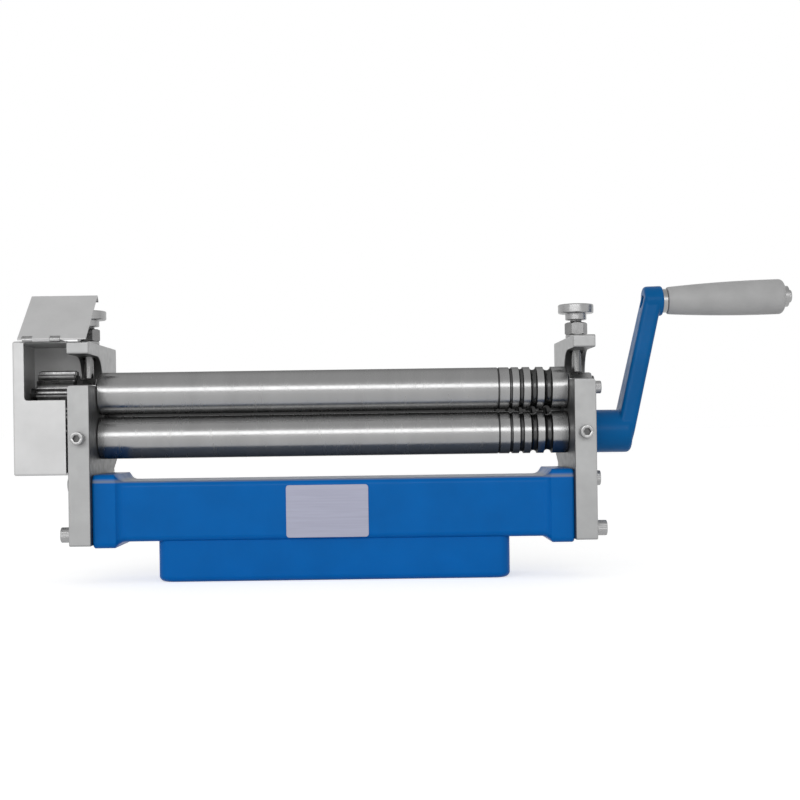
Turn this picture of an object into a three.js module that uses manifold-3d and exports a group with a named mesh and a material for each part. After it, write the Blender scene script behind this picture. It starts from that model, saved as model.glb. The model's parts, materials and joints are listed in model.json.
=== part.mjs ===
import * as THREE from 'three';
import { mergeVertices } from 'three/addons/utils/BufferGeometryUtils.js';
import Module from 'manifold-3d';

const wasm = await Module();
wasm.setup();

// A hand-cranked slip roll that bends sheet metal between three rolls.
// Millimetres. X runs along the rolls towards the crank, Y from front to back, Z up.
// The origin lies on the underside of the base, midway between the side plates and
// under the axes of the two front rolls.

// Fits
const slip = 0.25;
const seatGap = 0.3;
const overrun = 2;

// Rolls
const workingWidth = 310;
const rollRadius = 14;
const rollEndPlay = 0.3;
const rollEdge = 0.4;
const lowerAxisHeight = 94;
const sheetGap = 1.3;
const closestSheetGap = 0.5;
const widestSheetGap = 2.1;
const journalRadius = 6;
const crankJournalRadius = 7;
const gearSeatRadius = 5.5;
const rollEndStandout = 2.4;

// Wire grooves near the crank end of each roll, smallest wire first
const wireSizes = [2, 3, 4.5, 5.4];
const grooveDepthShare = 0.42;
const grooveLand = 4.4;
const grooveSetback = 13.3;
const scribeSetback = 7;
const scribeWidth = 1.2;
const scribeDepth = 0.5;

// Rear roll
const rearRollGap = 5;
const rearRollRise = 0.5;
const rearTravel = 15;
const rearRaised = 5;
const rearSlideAngle = 60;
const rearBlockWidth = 18;
const rearBlockLength = 20;
const rearBevelReach = 26.2;

// Side plates
const plateThickness = 14.1;
const plateFront = 36.5;
const plateRearMargin = 25.5;
const plateRearBottom = 32.5;
const plateGroundGap = 24.8;
const lipAboveAxis = 5;
const gapHeight = 19.7;
const gapRadius = 15.5;
const noseThickness = 8.1;
const lipRounding = 3.5;

// Upper bearing blocks
const upperBlockWidth = 18;
const upperBlockRise = 9.7;
const upperBlockChamfer = 4;

// Gears
const gearTeeth = 19;
const pressureAngle = 20;
const dedendumShare = 1.25;
const gearWidth = 24;
const gearStandoff = 0.9;
const gearShoulder = 0.6;
const gearBacklash = 0.4;
const keyWidth = 4;
const keyHeight = 3;
const keyLength = 18;

// Adjusting screws with their lock nuts, M8
const screwRadius = 4;
const screwTipChamfer = 0.8;
const spacerWasherRadius = 7;
const spacerWasherThickness = 2;
const nutAcrossFlats = 13;
const nutHeight = 8.2;
const threadShown = 1.7;
const knobNeckRadius = 7;
const knobNeckHeight = 4.3;
const knobRadius = 11.7;
const knobHeight = 6;
const knobChamfer = 0.9;

// Lower bushes and their set screws
const bushRadius = 10;
const bushScrewStandout = 2;

// Cap screws: M6 holds the side plates, M5 the bushes, gears and rolls, M4 the guard
const capScrews = {
  m4: { radius: 2, headRadius: 3.5, headHeight: 4, socket: 3 },
  m5: { radius: 2.5, headRadius: 4.25, headHeight: 5, socket: 4, washerRadius: 9, washer: 1.5 },
  m6: { radius: 3, headRadius: 5, headHeight: 6, socket: 5, washerRadius: 6, washer: 1.6 },
};
const headChamfer = 0.6;
const socketDepthShare = 0.5;
const endScrewLength = 12;
const endHoleSpare = 2;
const plateScrewGrip = 11;
const guardScrewGrip = 7;

// Base casting
const endBlockThickness = 14;
const endBlockHalfDepth = 32;
const endBlockBottom = 22.9;
const endBlockBelowAxis = 23.7;
const beamHalfDepth = 29;
const beamBottom = 26.8;
const beamBelowAxis = 28.2;
const beamFillet = 6.5;
const castingEdge = 4;
const pedestalHalfLength = 114;
const pedestalHalfDepth = 26;
const pedestalCorner = 7;
const pedestalOverlap = 8;
const castingWall = 8;
const castingRoof = 10;
const centreWeb = 12;
const benchBossRadius = 9;
const benchBossInset = 6;
const benchHoleRadius = 3.4;
const benchHoleDepth = 20;

// Screws through each side plate, measured from the roll axes and the base's edges
const footScrewRise = 8.6;
const footScrewReach = 23;
const headScrewDrop = 7.3;

// Crank
const hubRadius = 14.15;
const hubStandoff = 2;
const hubLength = 25.7;
const hubEdge = 3;
const crankRadius = 86;
const armThickness = 12;
const armProud = 1.6;
const armLean = 13;
const armFootRadius = 13;
const armHeadRadius = 9.3;
const bossRadius = 9.9;
const bossSetback = 1;
const bossProud = 0.6;
const bossOuterReach = 22.4;
const grubRadius = 3;
const grubSocket = 3;
const grubInset = 8;

// Crank grip and its stud
const studRadius = 4;
const studThread = 11;
const studCollarRadius = 7.9;
const studCollar = 3.1;
const gripTilt = 1.3;
const gripLength = 77;
const gripNearRadius = 9;
const gripFarRadius = 11.6;
const gripTaperShare = 0.87;
const gripEndRounding = 3;
const gripWasherRadius = 7;
const gripWasherThickness = 2.9;
const gripScrewRadius = 2;
const gripScrewHeadRadius = 4.2;
const gripScrewHead = 2.3;
const gripScrewLength = 9;

// Gear guard, its flap and the hinge between them
const guardSheet = 1.2;
const guardRoom = 8.5;
const guardBackRoom = 1.5;
const guardFrontGap = 1.6;
const guardBelowAxis = 23.5;
const guardAbovePlate = 0.5;
const notchAxisDrop = 4.7;
const notchWall = 7.3;
const guardEarLength = 11.5;
const guardEarHeight = 11;
const guardEarInset = 0.5;
const hingePinRadius = 0.7;
const hingeBarrelRadius = 1.6;
const hingeLeaf = 0.8;
const hingeLeafLength = 15;
const hingeWidth = 24;
const hingeKnuckleShare = 0.27;
const hingeSetback = 7.2;
const flapWidth = 43.6;
const flapSetback = 4.3;
const flapLength = 50;
const flapHeel = 1;
const flapLip = 4.5;
const flapClearance = 0.4;

// Facets
const rollSteps = 24;
const boreSteps = 20;
const smallSteps = 12;
const arcSteps = 4;
const flankSteps = 3;

// Places worked out from the sizes above
const degree = Math.PI / 180;
const endBlockTop = lowerAxisHeight - endBlockBelowAxis;
const beamTop = lowerAxisHeight - beamBelowAxis;
const plateInner = workingWidth / 2;
const plateOuter = plateInner + plateThickness;
const plateMiddle = plateInner + plateThickness / 2;
const rollEnd = plateInner - rollEndPlay;
const upperAxisHeight = lowerAxisHeight + 2 * rollRadius + sheetGap;
const lowering = sheetGap - closestSheetGap;
const lifting = widestSheetGap - sheetGap;
const lipTop = upperAxisHeight + lipAboveAxis;
const gapCeiling = lipTop + gapHeight;
const plateTop = gapCeiling + noseThickness;
const rearAxis = new THREE.Vector2(2 * rollRadius + rearRollGap, lowerAxisHeight + rearRollRise);
const slideUp = new THREE.Vector2(-Math.cos(rearSlideAngle * degree), Math.sin(rearSlideAngle * degree));
const slideAcross = new THREE.Vector2(slideUp.y, -slideUp.x);
const plateRear = rearAxis.x + plateRearMargin;
const gearInner = plateOuter + gearStandoff;
const gearOuter = gearInner + gearWidth;
const guardEdge = plateOuter + seatGap;
const guardEnd = gearOuter + guardRoom + guardSheet;
const guardTop = plateTop + guardAbovePlate;

// Closed solids from outlines, revolves and rings

function closed(geometry) {
  geometry.deleteAttribute('normal');
  geometry.deleteAttribute('uv');
  const merged = mergeVertices(geometry);
  const corners = Array.from(merged.index.array);
  const kept = [];
  for (let i = 0; i < corners.length; i += 3) {
    const [a, b, c] = corners.slice(i, i + 3);
    if (a !== b && b !== c && c !== a) kept.push(a, b, c);
  }
  merged.setIndex(kept);
  return merged;
}

function solid(geometry) {
  const merged = closed(geometry);
  return new wasm.Manifold(new wasm.Mesh({
    numProp: 3,
    vertProperties: new Float32Array(merged.attributes.position.array),
    triVerts: new Uint32Array(merged.index.array),
  }));
}

function geometryOf(manifold) {
  const mesh = manifold.getMesh();
  const geometry = new THREE.BufferGeometry();
  geometry.setAttribute('position', new THREE.BufferAttribute(new Float32Array(mesh.vertProperties), 3));
  geometry.setIndex(Array.from(mesh.triVerts));
  return geometry;
}

function extruded(outline, from, to, axes) {
  const geometry = new THREE.ExtrudeGeometry(outline, {
    depth: to - from, bevelEnabled: false, curveSegments: arcSteps,
  });
  return geometry.applyMatrix4(axes);
}

// An outline in Y and Z, carried along X
function alongX(outline, from, to) {
  return extruded(outline, from, to, new THREE.Matrix4().set(0, 0, 1, from, 1, 0, 0, 0, 0, 1, 0, 0, 0, 0, 0, 1));
}

// An outline in X and Z, carried along Y
function alongY(outline, from, to) {
  return extruded(outline, from, to, new THREE.Matrix4().set(1, 0, 0, 0, 0, 0, -1, to, 0, 1, 0, 0, 0, 0, 0, 1));
}

// An outline in X and Y, carried along Z
function alongZ(outline, from, to) {
  return extruded(outline, from, to, new THREE.Matrix4().makeTranslation(0, 0, from));
}

function polygon(points) {
  return new THREE.Shape(points.map(([u, v]) => new THREE.Vector2(u, v)));
}

function rectangle(fromU, toU, fromV, toV) {
  return polygon([[fromU, fromV], [toU, fromV], [toU, toV], [fromU, toV]]);
}

function regularPoints(centreU, centreV, radius, sides) {
  return Array.from({ length: sides }, (_, i) => {
    const angle = 2 * Math.PI * i / sides;
    return [centreU + radius * Math.cos(angle), centreV + radius * Math.sin(angle)];
  });
}

function disc(centreU, centreV, radius, sides = boreSteps) {
  return polygon(regularPoints(centreU, centreV, radius, sides));
}

function ring(centreU, centreV, inner, outer, sides = boreSteps) {
  const outline = disc(centreU, centreV, outer, sides);
  outline.holes.push(disc(centreU, centreV, inner, sides));
  return outline;
}

// A profile of places along an axis and radii, turned about that axis
function revolved(profile, steps) {
  return new THREE.LatheGeometry(profile.map(([place, radius]) => new THREE.Vector2(radius, place)), steps);
}

function aboutX(profile, steps = rollSteps) {
  return closed(revolved(profile, steps).applyMatrix4(
    new THREE.Matrix4().set(0, 1, 0, 0, 0, 0, 1, 0, 1, 0, 0, 0, 0, 0, 0, 1)));
}

function aboutZ(profile, steps = rollSteps) {
  return closed(revolved(profile, steps).applyMatrix4(
    new THREE.Matrix4().set(0, 0, 1, 0, 1, 0, 0, 0, 0, 1, 0, 0, 0, 0, 0, 1)));
}

// Points of a quarter round of the given radius, from one angle to another
function arcPoints(centreU, centreV, radius, fromAngle, toAngle, steps = arcSteps) {
  return Array.from({ length: steps + 1 }, (_, i) => {
    const angle = (fromAngle + (toAngle - fromAngle) * i / steps) * degree;
    return [centreU + radius * Math.cos(angle), centreV + radius * Math.sin(angle)];
  });
}

function roundedRectangle(halfU, centreV, halfV, radius) {
  const u = halfU - radius;
  const v = halfV - radius;
  return [
    ...arcPoints(u, centreV + v, radius, 0, 90),
    ...arcPoints(-u, centreV + v, radius, 90, 180),
    ...arcPoints(-u, centreV - v, radius, 180, 270),
    ...arcPoints(u, centreV - v, radius, 270, 360),
  ];
}

// Rings of equally many points, each anticlockwise seen from the end the rings run towards
function lofted(rings) {
  const count = rings[0].length;
  const triangles = [];
  for (let level = 0; level + 1 < rings.length; level += 1) {
    for (let i = 0; i < count; i += 1) {
      const near = level * count;
      const far = near + count;
      const next = (i + 1) % count;
      triangles.push(near + i, near + next, far + next, near + i, far + next, far + i);
    }
  }
  const last = (rings.length - 1) * count;
  for (let i = 1; i + 1 < count; i += 1) {
    triangles.push(0, i + 1, i, last, last + i, last + i + 1);
  }
  const geometry = new THREE.BufferGeometry();
  geometry.setAttribute('position', new THREE.Float32BufferAttribute(rings.flat(2), 3));
  geometry.setIndex(triangles);
  return closed(geometry);
}

// The finished model

const slipRoll = new THREE.Group();
slipRoll.name = 'slip_roll';

const paint = {
  castingBlue: { color: 0x0062a7, roughness: 0.35, metalness: 0.1 },
  groundSteel: { color: 0x9a9b9c, roughness: 0.25, metalness: 1 },
  plateGrey: { color: 0xb5b6b6, roughness: 0.45, metalness: 0.3 },
  guardGrey: { color: 0xcfcfcf, roughness: 0.5, metalness: 0.1 },
  zinc: { color: 0xa6a8aa, roughness: 0.35, metalness: 0.9 },
  blackOxide: { color: 0x2c2d2f, roughness: 0.45, metalness: 0.7 },
  bronze: { color: 0xa9793f, roughness: 0.4, metalness: 0.9 },
  gripGrey: { color: 0xacacac, roughness: 0.6, metalness: 0.0 },
};

function add(name, geometry, finish, parent = slipRoll) {
  const mesh = new THREE.Mesh(geometry, new THREE.MeshStandardMaterial(finish));
  mesh.name = name;
  parent.add(mesh);
  return mesh;
}

// Base casting

function filletRise(inward, height) {
  const along = beamFillet - inward;
  if (along <= 0) return 0;
  return Math.min(height, beamFillet - Math.sqrt(beamFillet ** 2 - along ** 2));
}

function castingRing(x) {
  const inward = Math.max(0, plateInner - endBlockThickness - Math.abs(x));
  const halfDepth = beamHalfDepth + filletRise(inward, endBlockHalfDepth - beamHalfDepth);
  const top = beamTop + filletRise(inward, endBlockTop - beamTop);
  const bottom = beamBottom - filletRise(inward, beamBottom - endBlockBottom);
  return roundedRectangle(halfDepth, (top + bottom) / 2, (top - bottom) / 2, castingEdge)
    .map(([y, z]) => [x, y, z]);
}

function castingStations() {
  const blockInner = plateInner - endBlockThickness;
  const fillet = Array.from({ length: arcSteps + 1 }, (_, i) => blockInner - beamFillet * i / arcSteps);
  const half = [plateInner, ...fillet];
  return [...half.map((x) => -x), ...half.reverse()];
}

function pedestalRings() {
  const levels = arcPoints(0, castingEdge, castingEdge, 270, 360).map(([inset, z]) => [castingEdge - inset, z]);
  levels.push([0, beamBottom + pedestalOverlap]);
  return levels.map(([inset, z]) => roundedRectangle(pedestalHalfLength - inset, 0, pedestalHalfDepth, pedestalCorner)
    .map(([x, y]) => [x, y, z]));
}

function footScrewPlaces() {
  const height = endBlockBottom + footScrewRise;
  return [
    ['front', -footScrewReach, height],
    ['rear', footScrewReach, height],
    ['upper', 0, endBlockTop - headScrewDrop],
  ];
}

function baseCasting() {
  let body = solid(lofted(castingStations().map(castingRing))).add(solid(lofted(pedestalRings())));
  const cavityEnd = pedestalHalfLength - castingWall;
  const cavityHalf = pedestalHalfDepth - castingWall;
  const cavityTop = beamTop - castingRoof;
  const bossX = cavityEnd - benchBossInset;
  const bossY = cavityHalf - benchBossInset;
  for (const side of [-1, 1]) {
    const [from, to] = [centreWeb / 2, cavityEnd].map((x) => side * x).sort((a, b) => a - b);
    let cavity = solid(alongZ(rectangle(from, to, -cavityHalf, cavityHalf), -overrun, cavityTop));
    for (const across of [-1, 1]) {
      const boss = disc(side * bossX, across * bossY, benchBossRadius, smallSteps);
      cavity = cavity.subtract(solid(alongZ(boss, -2 * overrun, cavityTop + overrun)));
    }
    body = body.subtract(cavity);
    for (const across of [-1, 1]) {
      const hole = disc(side * bossX, across * bossY, benchHoleRadius, smallSteps);
      body = body.subtract(solid(alongZ(hole, -overrun, benchHoleDepth)));
    }
    for (const [, y, z] of footScrewPlaces()) {
      const deep = side * (plateInner - plateScrewGrip - endHoleSpare);
      const out = side * (plateInner + overrun);
      const hole = disc(y, z, capScrews.m6.radius + slip, smallSteps);
      body = body.subtract(solid(alongX(hole, Math.min(deep, out), Math.max(deep, out))));
    }
  }
  return geometryOf(body);
}

add('base_casting', baseCasting(), paint.castingBlue);

// Side plates: one outline in Y and Z, with the throat that lets the upper roll out to the
// front, the round-bottomed pocket of its bearing block, and the inclined slot behind

const pocketHalf = upperBlockWidth / 2 + slip;
const pocketCentre = upperAxisHeight - lowering - slip;

function bevelPoint(y) {
  const rise = (-rearBevelReach - (y - rearAxis.x) * slideUp.x) / slideUp.y;
  return [y, rearAxis.y + rise];
}

function alongSlide(up, across) {
  return rearAxis.clone().addScaledVector(slideUp, up).addScaledVector(slideAcross, across);
}

function plateOutline() {
  const wallTop = gapCeiling - gapRadius;
  return polygon([
    [-plateFront, plateGroundGap],
    [plateRearBottom, plateGroundGap],
    bevelPoint(plateRearBottom),
    bevelPoint(plateRear),
    [plateRear, plateTop],
    [-plateFront, plateTop],
    [-plateFront, gapCeiling],
    ...arcPoints(pocketHalf - gapRadius, wallTop, gapRadius, 90, 0),
    ...arcPoints(0, pocketCentre, pocketHalf, 0, -180, 2 * arcSteps),
    [-pocketHalf, lipTop],
    [-plateFront, lipTop],
  ]);
}

function rearSlot() {
  const half = rearBlockWidth / 2 + slip;
  const low = -(rearBlockLength / 2 + slip);
  const high = rearTravel + rearBlockLength / 2 + slip;
  return new THREE.Path([[low, -half], [low, half], [high, half], [high, -half]].map(([up, across]) => alongSlide(up, across)));
}

// The rear roll stands part of the way up its slide
const rearRollAxis = alongSlide(rearRaised, 0);

// A round bar in the plane of Y and Z, pointing up the rear slide
function slideBar(x, radius, from, to) {
  const bar = alongZ(disc(0, 0, radius, smallSteps), from, to);
  bar.applyMatrix4(new THREE.Matrix4().makeRotationX((90 - rearSlideAngle) * degree));
  return bar.applyMatrix4(new THREE.Matrix4().makeTranslation(x, rearAxis.x, rearAxis.y));
}

function guardScrewPlaces() {
  const middle = guardBack + guardEarLength / 2;
  const half = guardEarHeight / 2 + guardEarInset;
  return [['lower', middle, guardBottom + half], ['upper', middle, guardTop - 2 * half]];
}

const gearPitchRadius = rollRadius + closestSheetGap / 2;
const gearModule = 2 * gearPitchRadius / gearTeeth;
const gearTipRadius = gearPitchRadius + gearModule;
const guardBack = gearTipRadius + guardBackRoom + guardSheet;
const guardBottom = lowerAxisHeight - guardBelowAxis;

function sidePlate(side) {
  const outline = plateOutline();
  outline.holes.push(rearSlot());
  outline.holes.push(disc(0, lowerAxisHeight, bushRadius + slip));
  for (const [, y, z] of footScrewPlaces()) {
    outline.holes.push(disc(y, z, capScrews.m6.radius + slip, smallSteps));
  }
  const [from, to] = side < 0 ? [-plateOuter, -plateInner] : [plateInner, plateOuter];
  const middle = side * plateMiddle;
  let plate = solid(alongX(outline, from, to));
  const screwHole = disc(middle, 0, screwRadius + slip, smallSteps);
  plate = plate.subtract(solid(alongZ(screwHole, gapCeiling - gapRadius, plateTop + overrun)));
  const bushHole = disc(middle, lowerAxisHeight, capScrews.m5.radius + slip, smallSteps);
  plate = plate.subtract(solid(alongY(bushHole, -plateFront - overrun, -bushRadius)));
  plate = plate.subtract(solid(slideBar(middle, screwRadius + slip, -rearBevelReach - overrun, -rearBlockLength / 2)));
  const corner = side * (plateOuter - lipRounding);
  const rounding = [
    ...arcPoints(corner, lipTop - lipRounding, lipRounding, side > 0 ? 90 : 180, side > 0 ? 0 : 90),
  ];
  const beyond = side > 0
    ? [[plateOuter + overrun, lipTop - lipRounding], [plateOuter + overrun, lipTop + overrun], [corner, lipTop + overrun]]
    : [[corner, lipTop + overrun], [-plateOuter - overrun, lipTop + overrun], [-plateOuter - overrun, lipTop - lipRounding]];
  plate = plate.subtract(solid(alongY(polygon([...rounding, ...beyond]), -plateFront - overrun, -pocketHalf)));
  if (side < 0) {
    for (const [, y, z] of guardScrewPlaces()) {
      const hole = disc(y, z, capScrews.m4.radius + slip, smallSteps);
      plate = plate.subtract(solid(alongX(hole, -plateOuter - overrun, -plateOuter + guardScrewGrip + endHoleSpare)));
    }
  }
  return geometryOf(plate);
}

// Cap screws, built on the Z axis with the head's underside at zero and the shank below it

function capScrew({ radius, headRadius, headHeight, socket }, length) {
  const body = solid(aboutZ([
    [-length, 0], [-length, radius], [0, radius], [0, headRadius],
    [headHeight - headChamfer, headRadius], [headHeight, headRadius - headChamfer], [headHeight, 0],
  ], smallSteps));
  const hexRadius = socket / Math.sqrt(3);
  const recess = solid(alongZ(disc(0, 0, hexRadius, 6), headHeight * (1 - socketDepthShare), headHeight + overrun));
  return geometryOf(body.subtract(recess));
}

const towards = {
  left: new THREE.Matrix4().makeRotationY(-Math.PI / 2),
  right: new THREE.Matrix4().makeRotationY(Math.PI / 2),
  front: new THREE.Matrix4().makeRotationX(Math.PI / 2),
};

function placed(geometry, turn, x, y, z) {
  return geometry.applyMatrix4(turn).translate(x, y, z);
}

// Each side's plate, its screws and the bearings in it

const sides = [['left', -1], ['right', 1]];

for (const [word, side] of sides) {
  const face = side * plateOuter;
  const middle = side * plateMiddle;
  add(`${word}_side_plate`, sidePlate(side), paint.plateGrey);

  for (const [where, y, z] of footScrewPlaces()) {
    const { radius, washerRadius, washer } = capScrews.m6;
    const [from, to] = [face, face + side * washer].sort((a, b) => a - b);
    add(`${word}_${where}_plate_washer`, closed(alongX(ring(y, z, radius + slip, washerRadius, smallSteps), from, to)), paint.zinc);
    const length = washer + plateThickness + plateScrewGrip;
    add(`${word}_${where}_plate_screw`, placed(capScrew(capScrews.m6, length), towards[word], face + side * washer, y, z), paint.zinc);
  }

  const bush = ring(0, lowerAxisHeight, (side > 0 ? crankJournalRadius : journalRadius) + slip, bushRadius);
  const [inner, outer] = [side * plateInner, face].sort((a, b) => a - b);
  add(`${word}_lower_bush`, closed(alongX(bush, inner, outer)), paint.bronze);

  const bushScrewLength = plateFront + bushScrewStandout - bushRadius - slip - seatGap;
  add(`${word}_bush_screw`, placed(capScrew(capScrews.m5, bushScrewLength), towards.front,
    middle, -plateFront - bushScrewStandout, lowerAxisHeight), paint.blackOxide);
}

// Upper bearing blocks: round-bottomed, flat where the adjusting screw presses

function upperBlockOutline() {
  const half = upperBlockWidth / 2;
  const top = upperAxisHeight + upperBlockRise;
  const outline = polygon([
    ...arcPoints(0, upperAxisHeight, half, 180, 360, 2 * arcSteps),
    [half, top - upperBlockChamfer],
    [half - upperBlockChamfer, top],
    [upperBlockChamfer - half, top],
    [-half, top - upperBlockChamfer],
  ]);
  outline.holes.push(disc(0, upperAxisHeight, journalRadius + slip));
  return outline;
}

function rearBlockOutline() {
  const half = rearBlockWidth / 2;
  const [low, high] = [rearRaised - rearBlockLength / 2, rearRaised + rearBlockLength / 2];
  const corners = [[low, -half], [high, -half], [high, half], [low, half]];
  const outline = new THREE.Shape(corners.map(([up, across]) => alongSlide(up, across)));
  outline.holes.push(disc(rearRollAxis.x, rearRollAxis.y, journalRadius + slip));
  return outline;
}

for (const [word, side] of sides) {
  const [from, to] = [side * plateInner, side * plateOuter].sort((a, b) => a - b);
  add(`${word}_upper_bearing`, closed(alongX(upperBlockOutline(), from, to)), paint.zinc);
  add(`${word}_rear_bearing`, closed(alongX(rearBlockOutline(), from, to)), paint.zinc);
}

// Adjusting screws with knobs, on the Z axis with the face that they pass through at zero

function adjustingScrew(tipDepth, shown) {
  const neck = spacerWasherThickness + nutHeight + shown;
  const disk = neck + knobNeckHeight;
  const top = disk + knobHeight;
  return aboutZ([
    [-tipDepth, 0], [-tipDepth, screwRadius - screwTipChamfer], [-tipDepth + screwTipChamfer, screwRadius],
    [neck, screwRadius], [neck, knobNeckRadius], [disk, knobNeckRadius],
    [disk, knobRadius - knobChamfer], [disk + knobChamfer, knobRadius],
    [top - knobChamfer, knobRadius], [top, knobRadius - knobChamfer], [top, 0],
  ], boreSteps);
}

function lockNut() {
  const outline = disc(0, 0, nutAcrossFlats / Math.sqrt(3), 6);
  outline.holes.push(disc(0, 0, screwRadius + slip, smallSteps));
  return closed(alongZ(outline, spacerWasherThickness, spacerWasherThickness + nutHeight));
}

function spacerWasher() {
  return closed(alongZ(ring(0, 0, screwRadius + slip, spacerWasherRadius, smallSteps), 0, spacerWasherThickness));
}

const upperTipDepth = plateTop - upperAxisHeight - upperBlockRise - seatGap;
const rearTipDepth = rearBevelReach + rearRaised - rearBlockLength / 2 - seatGap;

for (const [word, side] of sides) {
  const top = new THREE.Matrix4().makeTranslation(side * plateMiddle, 0, plateTop);
  add(`${word}_adjusting_screw`, adjustingScrew(upperTipDepth, threadShown).applyMatrix4(top), paint.zinc);
  add(`${word}_lock_nut`, lockNut().applyMatrix4(top), paint.zinc);
  add(`${word}_screw_washer`, spacerWasher().applyMatrix4(top), paint.zinc);

  const face = alongSlide(-rearBevelReach - seatGap, 0);
  const behind = new THREE.Group();
  behind.position.set(side * plateMiddle, face.x, face.y);
  behind.rotation.x = (90 - rearSlideAngle) * degree + Math.PI;
  slipRoll.add(behind);
  const screw = adjustingScrew(rearTipDepth + seatGap, threadShown + rearTravel - rearRaised);
  add(`${word}_rear_adjusting_screw`, screw, paint.zinc, behind);
  add(`${word}_rear_lock_nut`, lockNut(), paint.zinc, behind);
  add(`${word}_rear_screw_washer`, spacerWasher(), paint.zinc, behind);
}

// Rolls: a profile of X and radius, with wire grooves near the crank end

function groovePoints(middle, width, depth) {
  const half = width / 2;
  const radius = (half ** 2 + depth ** 2) / (2 * depth);
  const spread = Math.asin(half / radius);
  return Array.from({ length: flankSteps + 1 }, (_, i) => {
    const angle = spread * (2 * i / flankSteps - 1);
    return [middle + radius * Math.sin(angle), rollRadius - depth + radius * (1 - Math.cos(angle))];
  });
}

function wireGrooves() {
  let middle = plateInner - grooveSetback;
  const runs = [];
  for (const width of [...wireSizes].reverse()) {
    if (runs.length) middle -= width / 2;
    runs.unshift(groovePoints(middle, width, width * grooveDepthShare));
    middle -= width / 2 + grooveLand;
  }
  middle += grooveLand - scribeSetback;
  const scribe = [
    [middle - scribeWidth / 2, rollRadius], [middle, rollRadius - scribeDepth], [middle + scribeWidth / 2, rollRadius],
  ];
  return [...scribe, ...runs.flat()];
}

function rollProfile(leftEnd, rightEnd) {
  return [
    ...leftEnd,
    [-rollEnd, rollRadius - rollEdge], [rollEdge - rollEnd, rollRadius],
    ...wireGrooves(),
    [rollEnd - rollEdge, rollRadius], [rollEnd, rollRadius - rollEdge],
    ...rightEnd,
  ];
}

const gearShaftEnd = gearOuter - seatGap;
const gearShoulderPlace = plateOuter + gearShoulder;
const gearEnd = [
  [-gearShaftEnd, 0], [-gearShaftEnd, gearSeatRadius], [-gearShoulderPlace, gearSeatRadius],
  [-gearShoulderPlace, journalRadius], [-rollEnd, journalRadius],
];

function journalEnd(radius, end) {
  return [[rollEnd, radius], [end, radius], [end, 0]];
}

function mirroredEnd(points) {
  return points.map(([x, radius]) => [-x, radius]).reverse();
}

function endHole(axisY, axisZ, end, inward) {
  const deep = end + inward * (endScrewLength + endHoleSpare);
  const out = end - inward * overrun;
  return solid(alongX(disc(axisY, axisZ, capScrews.m5.radius + slip, smallSteps), Math.min(deep, out), Math.max(deep, out)));
}

function keyway(axisZ) {
  const half = keyWidth / 2 + slip;
  const bottom = axisZ + gearSeatRadius - keyHeight / 2 - slip;
  const inner = -(gearInner + gearWidth / 2 - keyLength / 2 - slip);
  return solid(alongX(rectangle(-half, half, bottom, axisZ + journalRadius + overrun), inner - keyLength - 2 * slip, inner));
}

const crankHubStart = plateOuter + hubStandoff;
const crankHubEnd = crankHubStart + hubLength;
const upperRollEnd = plateOuter + rollEndStandout;

function gearedRoll(axisZ, rightEnd) {
  return solid(aboutX(rollProfile(gearEnd, rightEnd)).translate(0, 0, axisZ))
    .subtract(keyway(axisZ))
    .subtract(endHole(0, axisZ, -gearShaftEnd, 1));
}

const upperRoll = gearedRoll(upperAxisHeight, journalEnd(journalRadius, upperRollEnd));
add('upper_roll', geometryOf(upperRoll.subtract(endHole(0, upperAxisHeight, upperRollEnd, -1))), paint.groundSteel);

const lowerRollEnd = crankHubEnd - seatGap;
add('lower_roll', geometryOf(gearedRoll(lowerAxisHeight, journalEnd(crankJournalRadius, lowerRollEnd))), paint.groundSteel);

const rearJournal = journalEnd(journalRadius, plateOuter - seatGap);
const rearRoll = aboutX(rollProfile(mirroredEnd(rearJournal), rearJournal));
add('rear_roll', rearRoll.translate(0, rearRollAxis.x, rearRollAxis.y), paint.groundSteel);

// Gears with involute teeth, one on each front roll

function toothPoints(centreAngle) {
  const baseRadius = gearPitchRadius * Math.cos(pressureAngle * degree);
  const rootRadius = gearPitchRadius - dedendumShare * gearModule;
  const involute = (angle) => Math.tan(angle) - angle;
  const halfThickness = (Math.PI * gearModule - gearBacklash) / 4;
  const halfAtPitch = halfThickness / gearPitchRadius + involute(pressureAngle * degree);
  const flank = Array.from({ length: flankSteps + 1 }, (_, i) => {
    const radius = baseRadius + (gearTipRadius - baseRadius) * i / flankSteps;
    return [radius, halfAtPitch - involute(Math.acos(Math.min(1, baseRadius / radius)))];
  });
  flank.unshift([rootRadius, flank[0][1]]);
  const rising = flank.map(([radius, half]) => [radius, centreAngle - half]);
  const falling = flank.map(([radius, half]) => [radius, centreAngle + half]).reverse();
  return [...rising, ...falling].map(([radius, angle]) => [radius * Math.cos(angle), radius * Math.sin(angle)]);
}

function gear(axisZ, firstTooth) {
  const pitch = 2 * Math.PI / gearTeeth;
  const outline = polygon(Array.from({ length: gearTeeth }, (_, i) => toothPoints(firstTooth + i * pitch)).flat());
  const half = keyWidth / 2 + slip;
  const bore = gearSeatRadius + slip;
  const opening = Math.asin(half / bore) / degree;
  const roof = gearSeatRadius + keyHeight / 2 + slip;
  outline.holes.push(polygon([
    ...arcPoints(0, 0, bore, 90 + opening, 450 - opening, boreSteps), [half, roof], [-half, roof],
  ]));
  return closed(alongX(outline, -gearOuter, -gearInner).translate(0, 0, axisZ));
}

const geared = [
  ['upper', upperAxisHeight, -Math.PI / 2 + Math.PI / gearTeeth],
  ['lower', lowerAxisHeight, Math.PI / 2],
];

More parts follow.
